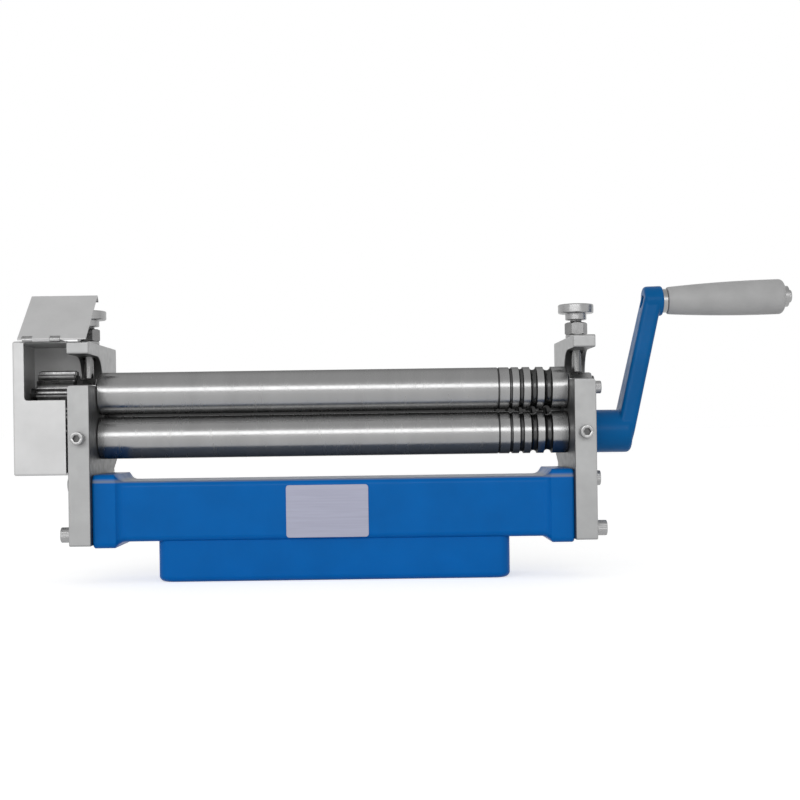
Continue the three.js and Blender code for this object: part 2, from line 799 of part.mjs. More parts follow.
for (const [word, axisZ, firstTooth] of geared) {
  add(`${word}_gear`, gear(axisZ, firstTooth), paint.blackOxide);

  const keyMiddle = gearInner + gearWidth / 2;
  const keyBottom = axisZ + gearSeatRadius - keyHeight / 2;
  const key = rectangle(-keyWidth / 2, keyWidth / 2, keyBottom, keyBottom + keyHeight);
  add(`${word}_gear_key`, closed(alongX(key, -keyMiddle - keyLength / 2, keyLength / 2 - keyMiddle)), paint.zinc);

  const { radius, washerRadius, washer } = capScrews.m5;
  const washerOutline = ring(0, axisZ, radius + slip, washerRadius, smallSteps);
  add(`${word}_gear_washer`, closed(alongX(washerOutline, -gearOuter - washer, -gearOuter)), paint.zinc);
  add(`${word}_gear_screw`, placed(capScrew(capScrews.m5, endScrewLength), towards.left, -gearOuter - washer, 0, axisZ), paint.zinc);
}

const { radius: endRadius, washerRadius: endWasherRadius, washer: endWasher } = capScrews.m5;
const endWasherOutline = ring(0, upperAxisHeight, endRadius + slip, endWasherRadius, smallSteps);
add('upper_roll_end_washer', closed(alongX(endWasherOutline, upperRollEnd, upperRollEnd + endWasher)), paint.zinc);
add('upper_roll_end_screw', placed(capScrew(capScrews.m5, endScrewLength), towards.right,
  upperRollEnd + endWasher, 0, upperAxisHeight), paint.zinc);

// Crank: a hub, an arm that leans away from the plate, and a boss for the grip's stud

const gripAxisHeight = lowerAxisHeight + crankRadius;
const armFoot = crankHubEnd + armProud - armThickness;
const armSlope = Math.tan(armLean * degree);
const bossInner = armFoot + armSlope * crankRadius + bossSetback;
const bossOuter = crankHubEnd + bossOuterReach;

// The boss, the stud and what turns on it tilt up a little about the boss's outer end
function tilted(geometry) {
  return geometry.translate(-bossOuter, 0, -gripAxisHeight)
    .rotateY(-gripTilt * degree)
    .translate(bossOuter, 0, gripAxisHeight);
}

function armLeaning() {
  const low = lowerAxisHeight - armFootRadius - overrun;
  const high = gripAxisHeight + armHeadRadius + overrun;
  const at = (z) => armFoot + armSlope * (z - lowerAxisHeight);
  return polygon([[at(low), low], [at(low) + armThickness, low], [at(high) + armThickness, high], [at(high), high]]);
}

function armTapering() {
  const tangent = Math.asin((armFootRadius - armHeadRadius) / crankRadius) / degree;
  return polygon([
    ...arcPoints(0, lowerAxisHeight, armFootRadius, 180 - tangent, 360 + tangent, 3 * arcSteps),
    ...arcPoints(0, gripAxisHeight, armHeadRadius, tangent, 180 - tangent, 2 * arcSteps),
  ]);
}

function crankArm() {
  const widest = Math.max(armFootRadius, armHeadRadius) + overrun;
  const arm = solid(alongY(armLeaning(), -widest, widest))
    .intersect(solid(alongX(armTapering(), plateOuter, bossOuter - bossProud)));
  const hub = solid(aboutX([
    [crankHubStart, 0], [crankHubStart, hubRadius],
    ...arcPoints(crankHubEnd - hubEdge, hubRadius - hubEdge, hubEdge, 90, 0),
    [crankHubEnd, 0],
  ]).translate(0, 0, lowerAxisHeight));
  const boss = solid(tilted(alongX(disc(0, gripAxisHeight, bossRadius), bossInner, bossOuter)));
  const bore = disc(0, lowerAxisHeight, crankJournalRadius + slip);
  const studHole = disc(0, gripAxisHeight, studRadius + slip, smallSteps);
  const grubHole = disc(crankHubStart + grubInset, lowerAxisHeight, grubRadius + slip, smallSteps);
  return geometryOf(arm.add(hub).add(boss)
    .subtract(solid(alongX(bore, crankHubStart - overrun, crankHubEnd + overrun)))
    .subtract(solid(tilted(alongX(studHole, bossInner - armThickness, bossOuter + overrun))))
    .subtract(solid(alongY(grubHole, 0, hubRadius + overrun))));
}

add('crank_arm', crankArm(), paint.castingBlue);

function grubScrew() {
  const length = hubRadius - crankJournalRadius - 2 * seatGap;
  const body = solid(alongZ(disc(0, 0, grubRadius, smallSteps), 0, length));
  const recess = disc(0, 0, grubSocket / Math.sqrt(3), 6);
  return geometryOf(body.subtract(solid(alongZ(recess, length * (1 - socketDepthShare), length + overrun))));
}

add('crank_grub_screw', placed(grubScrew(), new THREE.Matrix4().makeRotationX(-Math.PI / 2),
  crankHubStart + grubInset, crankJournalRadius + seatGap, lowerAxisHeight), paint.blackOxide);

// Grip on its shoulder stud

const collarEnd = bossOuter + studCollar;
const gripStart = collarEnd + seatGap;
const gripEnd = gripStart + gripLength;
const studEnd = gripEnd + seatGap;

function gripStud() {
  const body = solid(aboutX([
    [bossOuter - studThread, 0], [bossOuter - studThread, studRadius], [bossOuter, studRadius],
    [bossOuter, studCollarRadius], [collarEnd, studCollarRadius], [collarEnd, studRadius],
    [studEnd, studRadius], [studEnd, 0],
  ], smallSteps).translate(0, 0, gripAxisHeight));
  const hole = disc(0, gripAxisHeight, gripScrewRadius + slip, smallSteps);
  return geometryOf(body.subtract(solid(alongX(hole, studEnd - gripScrewLength - endHoleSpare, studEnd + overrun))));
}

function gripProfile() {
  const bore = studRadius + slip;
  const taper = gripLength * gripTaperShare;
  const rows = arcSteps + 1;
  const swelling = Array.from({ length: rows + 1 }, (_, i) => {
    const share = i / rows;
    const radius = gripFarRadius - (gripFarRadius - gripNearRadius) * (1 - share) ** 2;
    return [gripStart + taper * share, radius];
  });
  const rounding = arcPoints(gripEnd - gripEndRounding, gripFarRadius - gripEndRounding, gripEndRounding, 90, 0);
  return [[gripStart, bore], ...swelling, ...rounding, [gripEnd, bore], [gripStart, bore]];
}

add('grip_stud', tilted(gripStud()), paint.zinc);
add('crank_grip', tilted(aboutX(gripProfile(), boreSteps).translate(0, 0, gripAxisHeight)), paint.gripGrey);
const gripWasher = ring(0, gripAxisHeight, gripScrewRadius + slip, gripWasherRadius, smallSteps);
add('grip_washer', tilted(closed(alongX(gripWasher, studEnd, studEnd + gripWasherThickness))), paint.zinc);
const gripScrew = {
  radius: gripScrewRadius, headRadius: gripScrewHeadRadius, headHeight: gripScrewHead, socket: 2 * gripScrewRadius,
};
add('grip_screw', tilted(placed(capScrew(gripScrew, gripWasherThickness + gripScrewLength), towards.right,
  studEnd + gripWasherThickness, 0, gripAxisHeight)), paint.zinc);

// Gear guard: a sheet box open towards the plate, notched so that the upper gear can come out

const notchBottom = upperAxisHeight - notchAxisDrop;

function gearGuard() {
  const outside = solid(alongX(rectangle(-plateFront, guardBack, guardBottom, guardTop), -guardEnd, -guardEdge));
  const inside = rectangle(guardSheet - plateFront, guardBack - guardSheet, guardBottom + guardSheet, guardTop - guardSheet);
  const notch = rectangle(notchWall - guardEnd, overrun - guardEdge, notchBottom, guardTop - guardSheet);
  const frontGap = rectangle(-plateOuter - guardFrontGap, overrun - guardEdge, guardBottom - overrun, guardTop + overrun);
  let guard = outside
    .subtract(solid(alongX(inside, guardSheet - guardEnd, overrun - guardEdge)))
    .subtract(solid(alongY(notch, -plateFront - overrun, guardSheet + overrun - plateFront)))
    .subtract(solid(alongY(frontGap, -plateFront - overrun, guardSheet - plateFront)));
  for (const [, y, z] of guardScrewPlaces()) {
    const half = guardEarHeight / 2;
    const ear = rectangle(guardBack - guardSheet, y + guardEarLength / 2, z - half, z + half);
    const hole = disc(y, z, capScrews.m4.radius + slip, smallSteps);
    guard = guard.add(solid(alongX(ear, -guardEdge - guardSheet, -guardEdge)))
      .subtract(solid(alongX(hole, -guardEdge - guardSheet - overrun, overrun - guardEdge)));
  }
  return geometryOf(guard);
}

add('gear_guard', gearGuard(), paint.guardGrey);

for (const [where, y, z] of guardScrewPlaces()) {
  const head = -guardEdge - guardSheet;
  add(`guard_${where}_screw`, placed(capScrew(capScrews.m4, guardScrewGrip + guardSheet), towards.left, head, y, z), paint.zinc);
}

// Hinge and flap. The flap lies open on the rim of the left knob

const hingeAxis = new THREE.Vector2(-plateFront - hingeBarrelRadius - seatGap, guardTop + hingeLeaf);
const hingeLeft = hingeSetback - guardEnd;
const hingeRight = hingeLeft + hingeWidth;
const knuckle = hingeWidth * hingeKnuckleShare;
const knobTop = plateTop + spacerWasherThickness + nutHeight + threadShown + knobNeckHeight + knobHeight;

function flapOpenAngle() {
  const rise = knobTop + lifting + flapClearance - hingeAxis.y;
  const reach = -knobRadius - hingeAxis.x;
  const underside = hingeBarrelRadius - guardSheet;
  const leanOver = (along, up) => Math.atan2(up, along) - Math.asin(underside / Math.hypot(along, up));
  return Math.max(leanOver(reach + knobChamfer, rise), leanOver(reach, rise - knobChamfer));
}

function hingeTube(from, to) {
  return solid(alongX(disc(hingeAxis.x, hingeAxis.y, hingeBarrelRadius, smallSteps), from, to));
}

function guardLeaf() {
  const leafEnd = -plateFront + hingeLeafLength;
  const leaf = rectangle(hingeAxis.x, leafEnd, guardTop, guardTop + hingeLeaf);
  const gapForKnuckle = rectangle(hingeAxis.x - 2 * hingeBarrelRadius, -plateFront, guardTop - overrun, guardTop + 2 * overrun);
  const [gapLeft, gapRight] = [hingeLeft + knuckle - seatGap, hingeRight - knuckle + seatGap];
  return geometryOf(solid(alongX(leaf, hingeLeft, hingeRight))
    .add(hingeTube(hingeLeft, hingeRight))
    .subtract(solid(alongX(gapForKnuckle, gapLeft, gapRight)))
    .subtract(hingeBore()));
}

function hingeBore() {
  const bore = disc(hingeAxis.x, hingeAxis.y, hingePinRadius + slip, smallSteps);
  return solid(alongX(bore, hingeLeft - overrun, hingeRight + overrun));
}

// The flap in its closed place, hanging in front of the notch, then swung open
function guardFlap() {
  const left = flapSetback - guardEnd;
  const right = left + flapWidth;
  const back = hingeAxis.x + hingeBarrelRadius;
  const front = back - guardSheet;
  const low = hingeAxis.y - flapLength;
  const high = hingeAxis.y + flapHeel;
  const cutLow = hingeAxis.y - hingeBarrelRadius - seatGap;
  const cut = rectangle(back - 2 * hingeBarrelRadius, back + overrun, cutLow, high + overrun);
  const [knuckleLeft, knuckleRight] = [hingeLeft + knuckle, hingeRight - knuckle];
  const sheet = solid(alongX(rectangle(front, back, low, high), left, right))
    .add(solid(alongX(rectangle(front - flapLip, back, low, low + guardSheet), left, right)));
  const flap = sheet
    .subtract(solid(alongX(cut, hingeLeft - seatGap, knuckleLeft)))
    .subtract(solid(alongX(cut, knuckleRight, hingeRight + seatGap)))
    .add(hingeTube(knuckleLeft, knuckleRight))
    .subtract(hingeBore());
  return geometryOf(flap)
    .translate(0, -hingeAxis.x, -hingeAxis.y)
    .rotateX(flapOpenAngle() + Math.PI / 2)
    .translate(0, hingeAxis.x, hingeAxis.y);
}

add('guard_hinge_leaf', guardLeaf(), paint.zinc);
add('guard_hinge_pin', closed(alongX(disc(hingeAxis.x, hingeAxis.y, hingePinRadius, smallSteps), hingeLeft, hingeRight)), paint.zinc);
add('guard_flap', guardFlap(), paint.guardGrey);

export default slipRoll;
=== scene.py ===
"""Finished surfaces, materials and a studio for a hand-cranked slip roll, built round its frame."""

import json
import math

import bmesh
import bpy
import numpy as np
from bpy.props import FloatProperty, FloatVectorProperty, IntProperty, PointerProperty
from mathutils import Euler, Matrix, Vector
from mathutils.geometry import tessellate_polygon


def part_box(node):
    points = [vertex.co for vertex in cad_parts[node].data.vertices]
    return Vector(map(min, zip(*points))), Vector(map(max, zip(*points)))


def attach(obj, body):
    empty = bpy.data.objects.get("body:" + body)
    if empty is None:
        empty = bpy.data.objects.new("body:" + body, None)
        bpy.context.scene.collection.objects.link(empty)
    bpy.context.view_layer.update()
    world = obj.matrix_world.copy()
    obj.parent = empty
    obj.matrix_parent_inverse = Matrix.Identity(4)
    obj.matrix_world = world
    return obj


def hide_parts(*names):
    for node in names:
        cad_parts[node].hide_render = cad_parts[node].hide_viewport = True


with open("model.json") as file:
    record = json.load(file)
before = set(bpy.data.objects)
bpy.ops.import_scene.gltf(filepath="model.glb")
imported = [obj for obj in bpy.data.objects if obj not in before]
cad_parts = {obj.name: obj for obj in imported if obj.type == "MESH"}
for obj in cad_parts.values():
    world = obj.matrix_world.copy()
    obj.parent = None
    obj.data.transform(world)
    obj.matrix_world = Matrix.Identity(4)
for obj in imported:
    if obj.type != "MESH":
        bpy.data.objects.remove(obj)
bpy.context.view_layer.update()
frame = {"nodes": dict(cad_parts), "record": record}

bl_info = {
    "name": "Slip Roll",
    "version": (1, 0, 0),
    "blender": (4, 5, 0),
    "location": "3D View > Sidebar > Slip Roll",
    "description": "Builds the finished surfaces, materials and studio of a hand-cranked slip roll",
    "category": "Object",
}

MM = 0.001
DEGREE = math.pi / 180
WELD = 1e-6
TURN = 2 * math.pi
SIDES = (("left", -1), ("right", 1))
ORIGIN = (0, 0, 0)
OVERRUN = 2 * MM
THIN_EDGE = 0.15 * MM
SHARP = 38 * DEGREE
PLATE_SCREWS = ("front", "rear", "upper")
# Of a cap screw: the thread's radius, the head's radius and height, and the socket across its flats
SCREWS = {kind: np.array(row) * MM for kind, row in {
    "m4": (2, 3.5, 4, 3), "m5": (2.5, 4.25, 5, 4), "m6": (3, 5, 6, 5), "grip": (2, 4.2, 2.3, 4)}.items()}


# Places read from the frame

def low(node):
    """The lowest corner of a node, as an array."""
    return np.array(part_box(node)[0])


def high(node):
    """The highest corner of a node, as an array."""
    return np.array(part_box(node)[1])


def middle(node):
    """The centre of a node's box."""
    return (low(node) + high(node)) / 2


def ends(node):
    """Where a node starts and ends along the rolls."""
    return low(node)[0], high(node)[0]


PLATE_INNER = low("right_side_plate")[0]
PLATE_OUTER = high("right_side_plate")[0]
PLATE_MIDDLE = (PLATE_INNER + PLATE_OUTER) / 2
PLATE_FRONT, PLATE_BOTTOM = low("right_side_plate")[1:]
PLATE_REAR, PLATE_TOP = high("right_side_plate")[1:]
UPPER_AXIS = middle("upper_roll")[2]
LOWER_AXIS = middle("lower_roll")[2]
REAR_AXIS = middle("rear_roll")[1:]
ROLL_RADIUS = high("upper_roll")[2] - UPPER_AXIS


# Sizes and colours that a user would change

def length(name, description, millimetres):
    """A length that is set in millimetres and kept in metres."""
    return FloatProperty(
        name=name, description=description, default=millimetres * MM, unit="LENGTH", precision=5)


def angle(name, description, degrees):
    """An angle that is set in degrees and kept in radians."""
    return FloatProperty(name=name, description=description, default=degrees * DEGREE, subtype="ANGLE")


def number(name, description, value):
    """A plain number, such as a share or a strength."""
    return FloatProperty(name=name, description=description, default=value)


def colour(name, description, red, green, blue):
    """A colour in linear light."""
    return FloatVectorProperty(
        name=name, description=description, default=(red, green, blue), subtype="COLOR", min=0.0, max=1.0)


class SlipRollSizes(bpy.types.PropertyGroup):
    """Sizes of the finished surfaces."""

    slip: length("Slip", "Clearance of a pin in its hole", 0.25)
    seat_gap: length("Seat Gap", "Gap between two pieces that rest on each other", 0.3)
    roll_edge: length("Roll Edge", "Rounding at the ends of the rolls", 0.5)
    journal: length("Journal", "Radius of the rolls' journals", 6)
    crank_journal: length("Crank Journal", "Radius of the shaft that the crank turns", 7)
    gear_seat: length("Gear Seat", "Radius of the shaft under the gears", 5.5)
    gear_shoulder: length("Gear Shoulder", "How far the journal stands out of the plate beside a gear", 0.6)
    groove_land: length("Groove Land", "Plain roll between two wire grooves", 4.4)
    groove_setback: length("Groove Setback", "From the plate to the middle of the widest groove", 13.3)
    groove_depth_share: number("Groove Depth Share", "Depth of a wire groove as a share of its width", 0.42)
    scribe_setback: length("Scribe Setback", "From the narrowest groove to the scribed line", 7)
    scribe_width: length("Scribe Width", "Width of the scribed line", 1.2)
    scribe_depth: length("Scribe Depth", "Depth of the scribed line", 0.5)
    gear_teeth: IntProperty(name="Gear Teeth", description="Teeth on each gear", default=19)
    gear_chamfer: length("Gear Chamfer", "Rounding at the ends of the teeth", 0.45)
    key_width: length("Key Width", "Width of the gear keys", 4)
    key_height: length("Key Height", "Height of the gear keys", 3)
    plate_edge: length("Plate Edge", "Broken edge of the side plates", 0.6)
    plate_corner: length("Plate Corner", "Rounding of the side plates' corners", 1.2)
    lip_rounding: length("Lip Rounding", "Rounding of the lip's outer upper edge", 3.5)
    lip_above_axis: length("Lip Height", "Lip of the throat above the upper roll's axis", 5)
    gap_height: length("Throat Height", "Opening of the throat above its lip", 19.7)
    gap_radius: length("Throat Radius", "Rounding at the back of the throat", 15.5)
    pocket_drop: length("Pocket Drop", "Pocket's centre below the upper roll's axis", 1.05)
    bevel_reach: length("Bevel Reach", "From the rear roll's lowest axis to the bevelled face below it", 26.2)
    slide_angle: angle("Slide Angle", "Rise of the rear roll's slide", 60)
    rear_block_width: length("Rear Block Width", "Width of the rear bearing block", 18)
    rear_block_length: length("Rear Block Length", "Length of the rear bearing block", 20)
    rear_travel: length("Rear Travel", "Travel of the rear roll up its slide", 15)
    rear_raised: length("Rear Raised", "How far up its slide the rear roll stands", 5)
    block_chamfer: length("Block Chamfer", "Chamfer of the upper bearing blocks", 4)
    bush_radius: length("Bush Radius", "Outer radius of the lower bushes", 10)
    fine_edge: length("Fine Edge", "Broken edge of small turned pieces", 0.3)
    thread_pitch: length("Thread Pitch", "Pitch of the adjusting screws", 1.25)
    block_standout: length("Block Standout", "How far the right upper bearing stands out of its plate", 2.1)
    thread_depth: length("Thread Depth", "Depth of the adjusting screws' thread", 0.5)
    spindle_radius: length("Spindle Radius", "Radius of the adjusting screws below their thread", 3.1)
    screw_radius: length("Screw Radius", "Radius of the adjusting screws", 4)
    knob_neck: length("Knob Neck", "Radius of the knob's neck", 7)
    knob_neck_height: length("Knob Neck Height", "Height of the knob's neck", 4.3)
    knob_radius: length("Knob Radius", "Radius of the knob's rim", 11.7)
    knob_height: length("Knob Height", "Height of the knob's rim", 6)
    nut_flats: length("Nut Flats", "Lock nut across its flats", 13)
    nut_height: length("Nut Height", "Height of the lock nut", 8.2)
    casting_edge: length("Casting Edge", "Rounding along the beam and under the pedestal", 4)
    casting_end: length("Casting End", "Rounding where the end blocks meet the side plates", 1.8)
    beam_fillet: length("Beam Fillet", "Fillet between the beam and its end blocks", 6.5)
    end_block: length("End Block", "Thickness of the end blocks", 14)
    end_half_depth: length("End Block Half Depth", "Half the depth of the end blocks", 32)
    end_bottom: length("End Block Bottom", "Height of the end blocks' underside", 22.9)
    end_below_axis: length("End Block Drop", "End blocks' top below the lower roll's axis", 23.7)
    beam_half_depth: length("Beam Half Depth", "Half the depth of the beam", 29)
    beam_bottom: length("Beam Bottom", "Height of the beam's underside", 26.8)
    beam_below_axis: length("Beam Drop", "Beam's top below the lower roll's axis", 28.2)
    pedestal_half_length: length("Pedestal Half Length", "Half the length of the pedestal", 114)
    pedestal_half_depth: length("Pedestal Half Depth", "Half the depth of the pedestal", 26)
    pedestal_corner: length("Pedestal Corner", "Rounding of the pedestal's upright corners", 7)
    casting_wall: length("Casting Wall", "Wall of the hollow pedestal", 8)
    casting_roof: length("Casting Roof", "Roof over the hollow in the pedestal", 10)
    centre_web: length("Centre Web", "Web between the two hollows", 12)
    bench_boss: length("Bench Boss", "Radius of the four bench screw bosses", 9)
    bench_inset: length("Bench Inset", "Bosses' centres from the hollows' walls", 6)
    bench_hole: length("Bench Hole", "Radius of the bench screw holes", 3.4)
    bench_depth: length("Bench Hole Depth", "Depth of the bench screw holes", 20)
    label_width: length("Label Width", "Width of the bare plate on the beam", 53.1)
    label_height: length("Label Height", "Height of the bare plate on the beam", 33.8)
    label_corner: length("Label Corner", "Corner rounding of the bare plate", 2)
    label_thickness: length("Label Thickness", "Thickness of the bare plate", 0.6)
    label_shift: length("Label Shift", "Plate's centre from the middle of the beam", -4)
    label_level: length("Label Level", "Height of the plate's centre", 45.1)
    hub_radius: length("Hub Radius", "Radius of the crank's hub", 14.15)
    hub_length: length("Hub Length", "Length of the crank's hub", 25.7)
    hub_edge: length("Hub Edge", "Rounding of the hub's outer end", 3)
    crank_radius: length("Crank Radius", "From the hub's axis to the grip's", 86)
    arm_thickness: length("Arm Thickness", "Thickness of the crank arm", 12)
    arm_edge: length("Arm Edge", "Rounding along the crank arm", 3)
    arm_lean: angle("Arm Lean", "Lean of the crank arm", 13)
    arm_proud: length("Arm Proud", "Arm's outer face beyond the hub's end", 1.6)
    arm_foot: length("Arm Foot", "Half the arm's width at the hub", 13)
    arm_head: length("Arm Head", "Half the arm's width at the boss", 9.3)
    boss_radius: length("Boss Radius", "Radius of the boss at the arm's end", 9.9)
    boss_reach: length("Boss Reach", "From the hub's outer end to the boss's", 22.4)
    boss_length: length("Boss Length", "Length of the boss", 12.4)
    boss_edge: length("Boss Edge", "Rounding of the boss", 2.4)
    grip_tilt: angle("Grip Tilt", "Rise of the grip's axis away from the arm", 1.3)
    grip_length: length("Grip Length", "Length of the grip", 77)
    grip_near: length("Grip Near Radius", "Grip's radius beside the arm", 9)
    grip_far: length("Grip Far Radius", "Grip's radius at its far end", 11.6)
    grip_rounding: length("Grip Rounding", "Rounding of the grip's far end", 3)
    stud_radius: length("Stud Radius", "Radius of the grip's stud", 4)
    stud_thread: length("Stud Thread", "How deep the stud sits in the boss", 11)
    stud_collar: length("Stud Collar", "Width of the stud's collar", 3.1)
    stud_collar_radius: length("Stud Collar Radius", "Radius of the stud's collar", 7.9)
    grip_washer: length("Grip Washer", "Thickness of the washer at the grip's end", 2.9)
    grip_screw: length("Grip Screw", "Length of the grip's screw in its stud", 9)
    sheet: length("Guard Sheet", "Thickness of the guard's sheet", 1.2)
    bend: length("Sheet Bend", "Outer rounding of the guard's bends", 1.4)
    notch_wall: length("Notch Wall", "Guard's front left of the notch", 7.3)
    notch_drop: length("Notch Drop", "Notch's bottom below the upper roll's axis", 4.7)
    notch_corner: length("Notch Corner", "Rounding of the notch's lower corner", 2)
    front_gap: length("Front Gap", "Gap between the guard's front and the plate", 1.1)
    barrel: length("Hinge Barrel", "Radius of the hinge's knuckles", 1.6)
    leaf: length("Hinge Leaf", "Thickness of the hinge's leaf", 0.8)
    flap_length: length("Flap Length", "From the hinge's axis to the flap's edge", 50)
    flap_lip: length("Flap Lip", "Depth of the flap's turned edge", 4.5)
    flap_clearance: length("Flap Clearance", "Between the raised knob and the open flap", 0.4)


class SlipRollColours(bpy.types.PropertyGroup):
    """Colours of the finishes."""

    casting: colour("Casting Enamel", "Blue enamel on the base", 0.0, 0.138, 0.48)
    crank: colour("Crank Enamel", "Blue enamel on the crank", 0.001, 0.115, 0.345)
    rolls: colour("Roll Steel", "Polished steel of the rolls", 0.32, 0.32, 0.32)
    # The rear roll's dark colour is painted shade: it stands in for the shadow in the gap between the rolls
    rear_roll: colour("Rear Roll Steel", "Duller, oiled steel of the rear roll", 0.07, 0.07, 0.07)
    plates: colour("Plate Steel", "Satin plating of the side plates", 0.35, 0.352, 0.352)
    guard: colour("Guard Steel", "Sheet steel of the guard and its flap", 0.6, 0.6, 0.6)
    zinc: colour("Zinc", "Plating of nuts, knobs and screws", 0.35, 0.35, 0.35)
    nuts: colour("Lock Nuts", "Duller plating of the lock nuts", 0.23, 0.23, 0.23)
    # Black oxide on the gears' screws and washers is real; in the screws' sockets this colour is painted
    # shade
    oxide_and_socket_shade: colour("Blackened Steel", "Black oxide in sockets and on the gears' screws", 0.11, 0.11, 0.11)
    # Painted sheen: a grey for the beam's top face under the rolls, standing in for its grazing sheen
    top_sheen_grey: colour("Dust", "Film of oil and dust on the beam under the rolls", 0.24, 0.28, 0.36)
    gears: colour("Gear Steel", "Steel of the gears", 0.32, 0.32, 0.32)
    bronze: colour("Bronze", "Bearing bushes", 0.55, 0.36, 0.14)
    grip: colour("Grip", "Moulded grip", 0.45, 0.45, 0.45)
    label: colour("Label Plate", "Bare plate on the beam", 0.335, 0.34, 0.425)
    floor: colour("Floor", "Studio floor", 0.8, 0.8, 0.8)


class SlipRollStudio(bpy.types.PropertyGroup):
    """The camera, the lamp and the daylight round them."""

    camera_place: FloatVectorProperty(
        name="Camera Place", description="Where the camera stands",
        default=(26.8 * MM, -913.5 * MM, 96.8 * MM), subtype="TRANSLATION", unit="LENGTH")
    camera_roll: angle("Camera Roll", "Turn of the camera about its view", 0.8)
    lens: number("Lens", "Focal length in millimetres", 61.8)
    shift_across: number("Shift Across", "Sideways shift of the frame", 0.0325)
    shift_up: number("Shift Up", "Upward shift of the frame", 0.0375)
    lamp_power: FloatProperty(
        name="Lamp Power", description="Power of the front lamp", default=26, unit="POWER")
    lamp_width: length("Lamp Width", "Width of the front lamp", 3400)
    lamp_height: length("Lamp Height", "Height of the front lamp", 850)
    lamp_distance: length("Lamp Distance", "From the machine to the front lamp", 2600)
    lamp_rise: angle("Lamp Rise", "Height of the lamp seen from the machine", 18)
    lamp_turn: angle("Lamp Turn", "How far the lamp stands round to the left", 12)
    daylight: number("Daylight", "Strength of the light from all round", 0.55)
    ceiling: number("Ceiling", "Ceiling's share of the daylight", 0.75)
    floor_glow: number("Floor Glow", "White added to the floor where the camera sees it", 0.61)


def sizes():
    """The sizes as they are set in the scene."""
    return bpy.context.scene.slip_roll_sizes


def colours():
    """The finishes' colours as they are set in the scene."""
    return bpy.context.scene.slip_roll_colours


def studio():
    """The camera, lamp and daylight as they are set in the scene."""
    return bpy.context.scene.slip_roll_studio


def hole(kind):
    """The radius of a cap screw's hole, with its clearance."""
    return SCREWS[kind][0] + sizes().slip


# Surfaces worked out as whole arrays. Axes are three rows: two across and one along.

ALONG_X = np.array([[0, 1, 0], [0, 0, 1], [1, 0, 0]], float)
ALONG_Y = np.array([[0, 0, 1], [1, 0, 0], [0, 1, 0]], float)
ALONG_Z = np.identity(3)
TOWARDS = {
    "left": np.array([[0, 0, 1], [0, 1, 0], [-1, 0, 0]], float),
    "right": ALONG_X,
    "front": np.array([[1, 0, 0], [0, 0, 1], [0, -1, 0]], float),
}


def rounded(corners, radii, steps=8, closed=True):
    """Each corner gives way to an arc that touches both its sides. The arc starts as far before the corner
    as the radius times the tangent of half the turn, and swings about a centre on the inner side."""
    corners = np.asarray(corners, float)
    radii = np.broadcast_to(np.asarray(radii, float), len(corners))
    before = corners - np.roll(corners, 1, axis=0)
    after = np.roll(corners, -1, axis=0) - corners
    if not closed:
        before[0], after[-1] = after[0], before[-1]
    before /= np.linalg.norm(before, axis=1, keepdims=True)
    after /= np.linalg.norm(after, axis=1, keepdims=True)
    crossed = before[:, 0] * after[:, 1] - before[:, 1] * after[:, 0]
    turn = np.arctan2(crossed, (before * after).sum(axis=1))
    start = corners - before * (radii * np.tan(np.abs(turn) / 2))[:, None]
    inward = np.stack([-before[:, 1], before[:, 0]], axis=1) * (np.sign(turn) * radii)[:, None]
    swing = turn[:, None] * np.linspace(0, 1, steps + 1)
    cos, sin = np.cos(swing), np.sin(swing)
    u, v = -inward[:, :1], -inward[:, 1:]
    swung = np.stack([u * cos - v * sin, u * sin + v * cos], axis=-1)
    points = ((start + inward)[:, None, :] + swung).reshape(-1, 2)
    apart = np.linalg.norm(points - np.roll(points, 1, axis=0), axis=1) > WELD
    if not closed:
        apart[0] = True
    return points[apart]


def polar(radius, angle):
    """Points at a distance and a turn: the radius times the turn's cosine across and its sine up."""
    return np.stack([radius * np.cos(angle), radius * np.sin(angle)], axis=-1)


def circle(centre, radius, steps=64):
    """Points at equal turns round a centre."""
    return np.asarray(centre) + polar(radius, TURN * np.arange(steps) / steps)


def box_outline(from_u, to_u, from_v, to_v):
    """The four corners of an upright rectangle."""
    return np.array([[from_u, from_v], [to_u, from_v], [to_u, to_v], [from_u, to_v]])


def moved_in(loop, inset):
    """A loop whose every point moves to the left of its way, so that each side moves in by the inset."""
    before = loop - np.roll(loop, 1, axis=0)
    before /= np.linalg.norm(before, axis=1, keepdims=True)
    after = np.roll(before, -1, axis=0)
    both = before + after
    left = np.stack([-both[:, 1], both[:, 0]], axis=1)
    return loop + inset * left / (1 + (before * after).sum(axis=1))[:, None]


def wound(loop, clockwise=False):
    """The loop, turned round if its signed area says that it runs the other way."""
    area = (loop[:, 0] * np.roll(loop[:, 1], -1) - loop[:, 1] * np.roll(loop[:, 0], -1)).sum()
    return loop[::-1] if (area < 0) != clockwise else loop


def spread(across, along, origin=ORIGIN, axes=ALONG_X):
    """Points from places across and along the axes, about an origin."""
    return np.asarray(origin, float) + across @ axes[:2] + np.asarray(along)[..., None] * axes[2]


def surface(grid, loop=False):
    """Quads between neighbouring rings of a grid; the last ring meets the first where loop is set."""
    rows, count = grid.shape[:2]
    index = np.arange(rows * count).reshape(rows, count)
    index = np.hstack([index, index[:, :1]])
    if loop:
        index = np.vstack([index, index[:1]])
    quads = np.stack([index[:-1, :-1], index[:-1, 1:], index[1:, 1:], index[1:, :-1]], axis=-1)
    return grid.reshape(-1, 3), quads.reshape(-1, 4).tolist()


def lid(loops, along, origin=ORIGIN, axes=ALONG_X):
    """The flat face between the first loop and the ones inside it."""
    faces = tessellate_polygon([[Vector((u, v, 0)) for u, v in loop] for loop in loops])
    return spread(np.vstack(loops), along, origin, axes), [list(face) for face in faces]


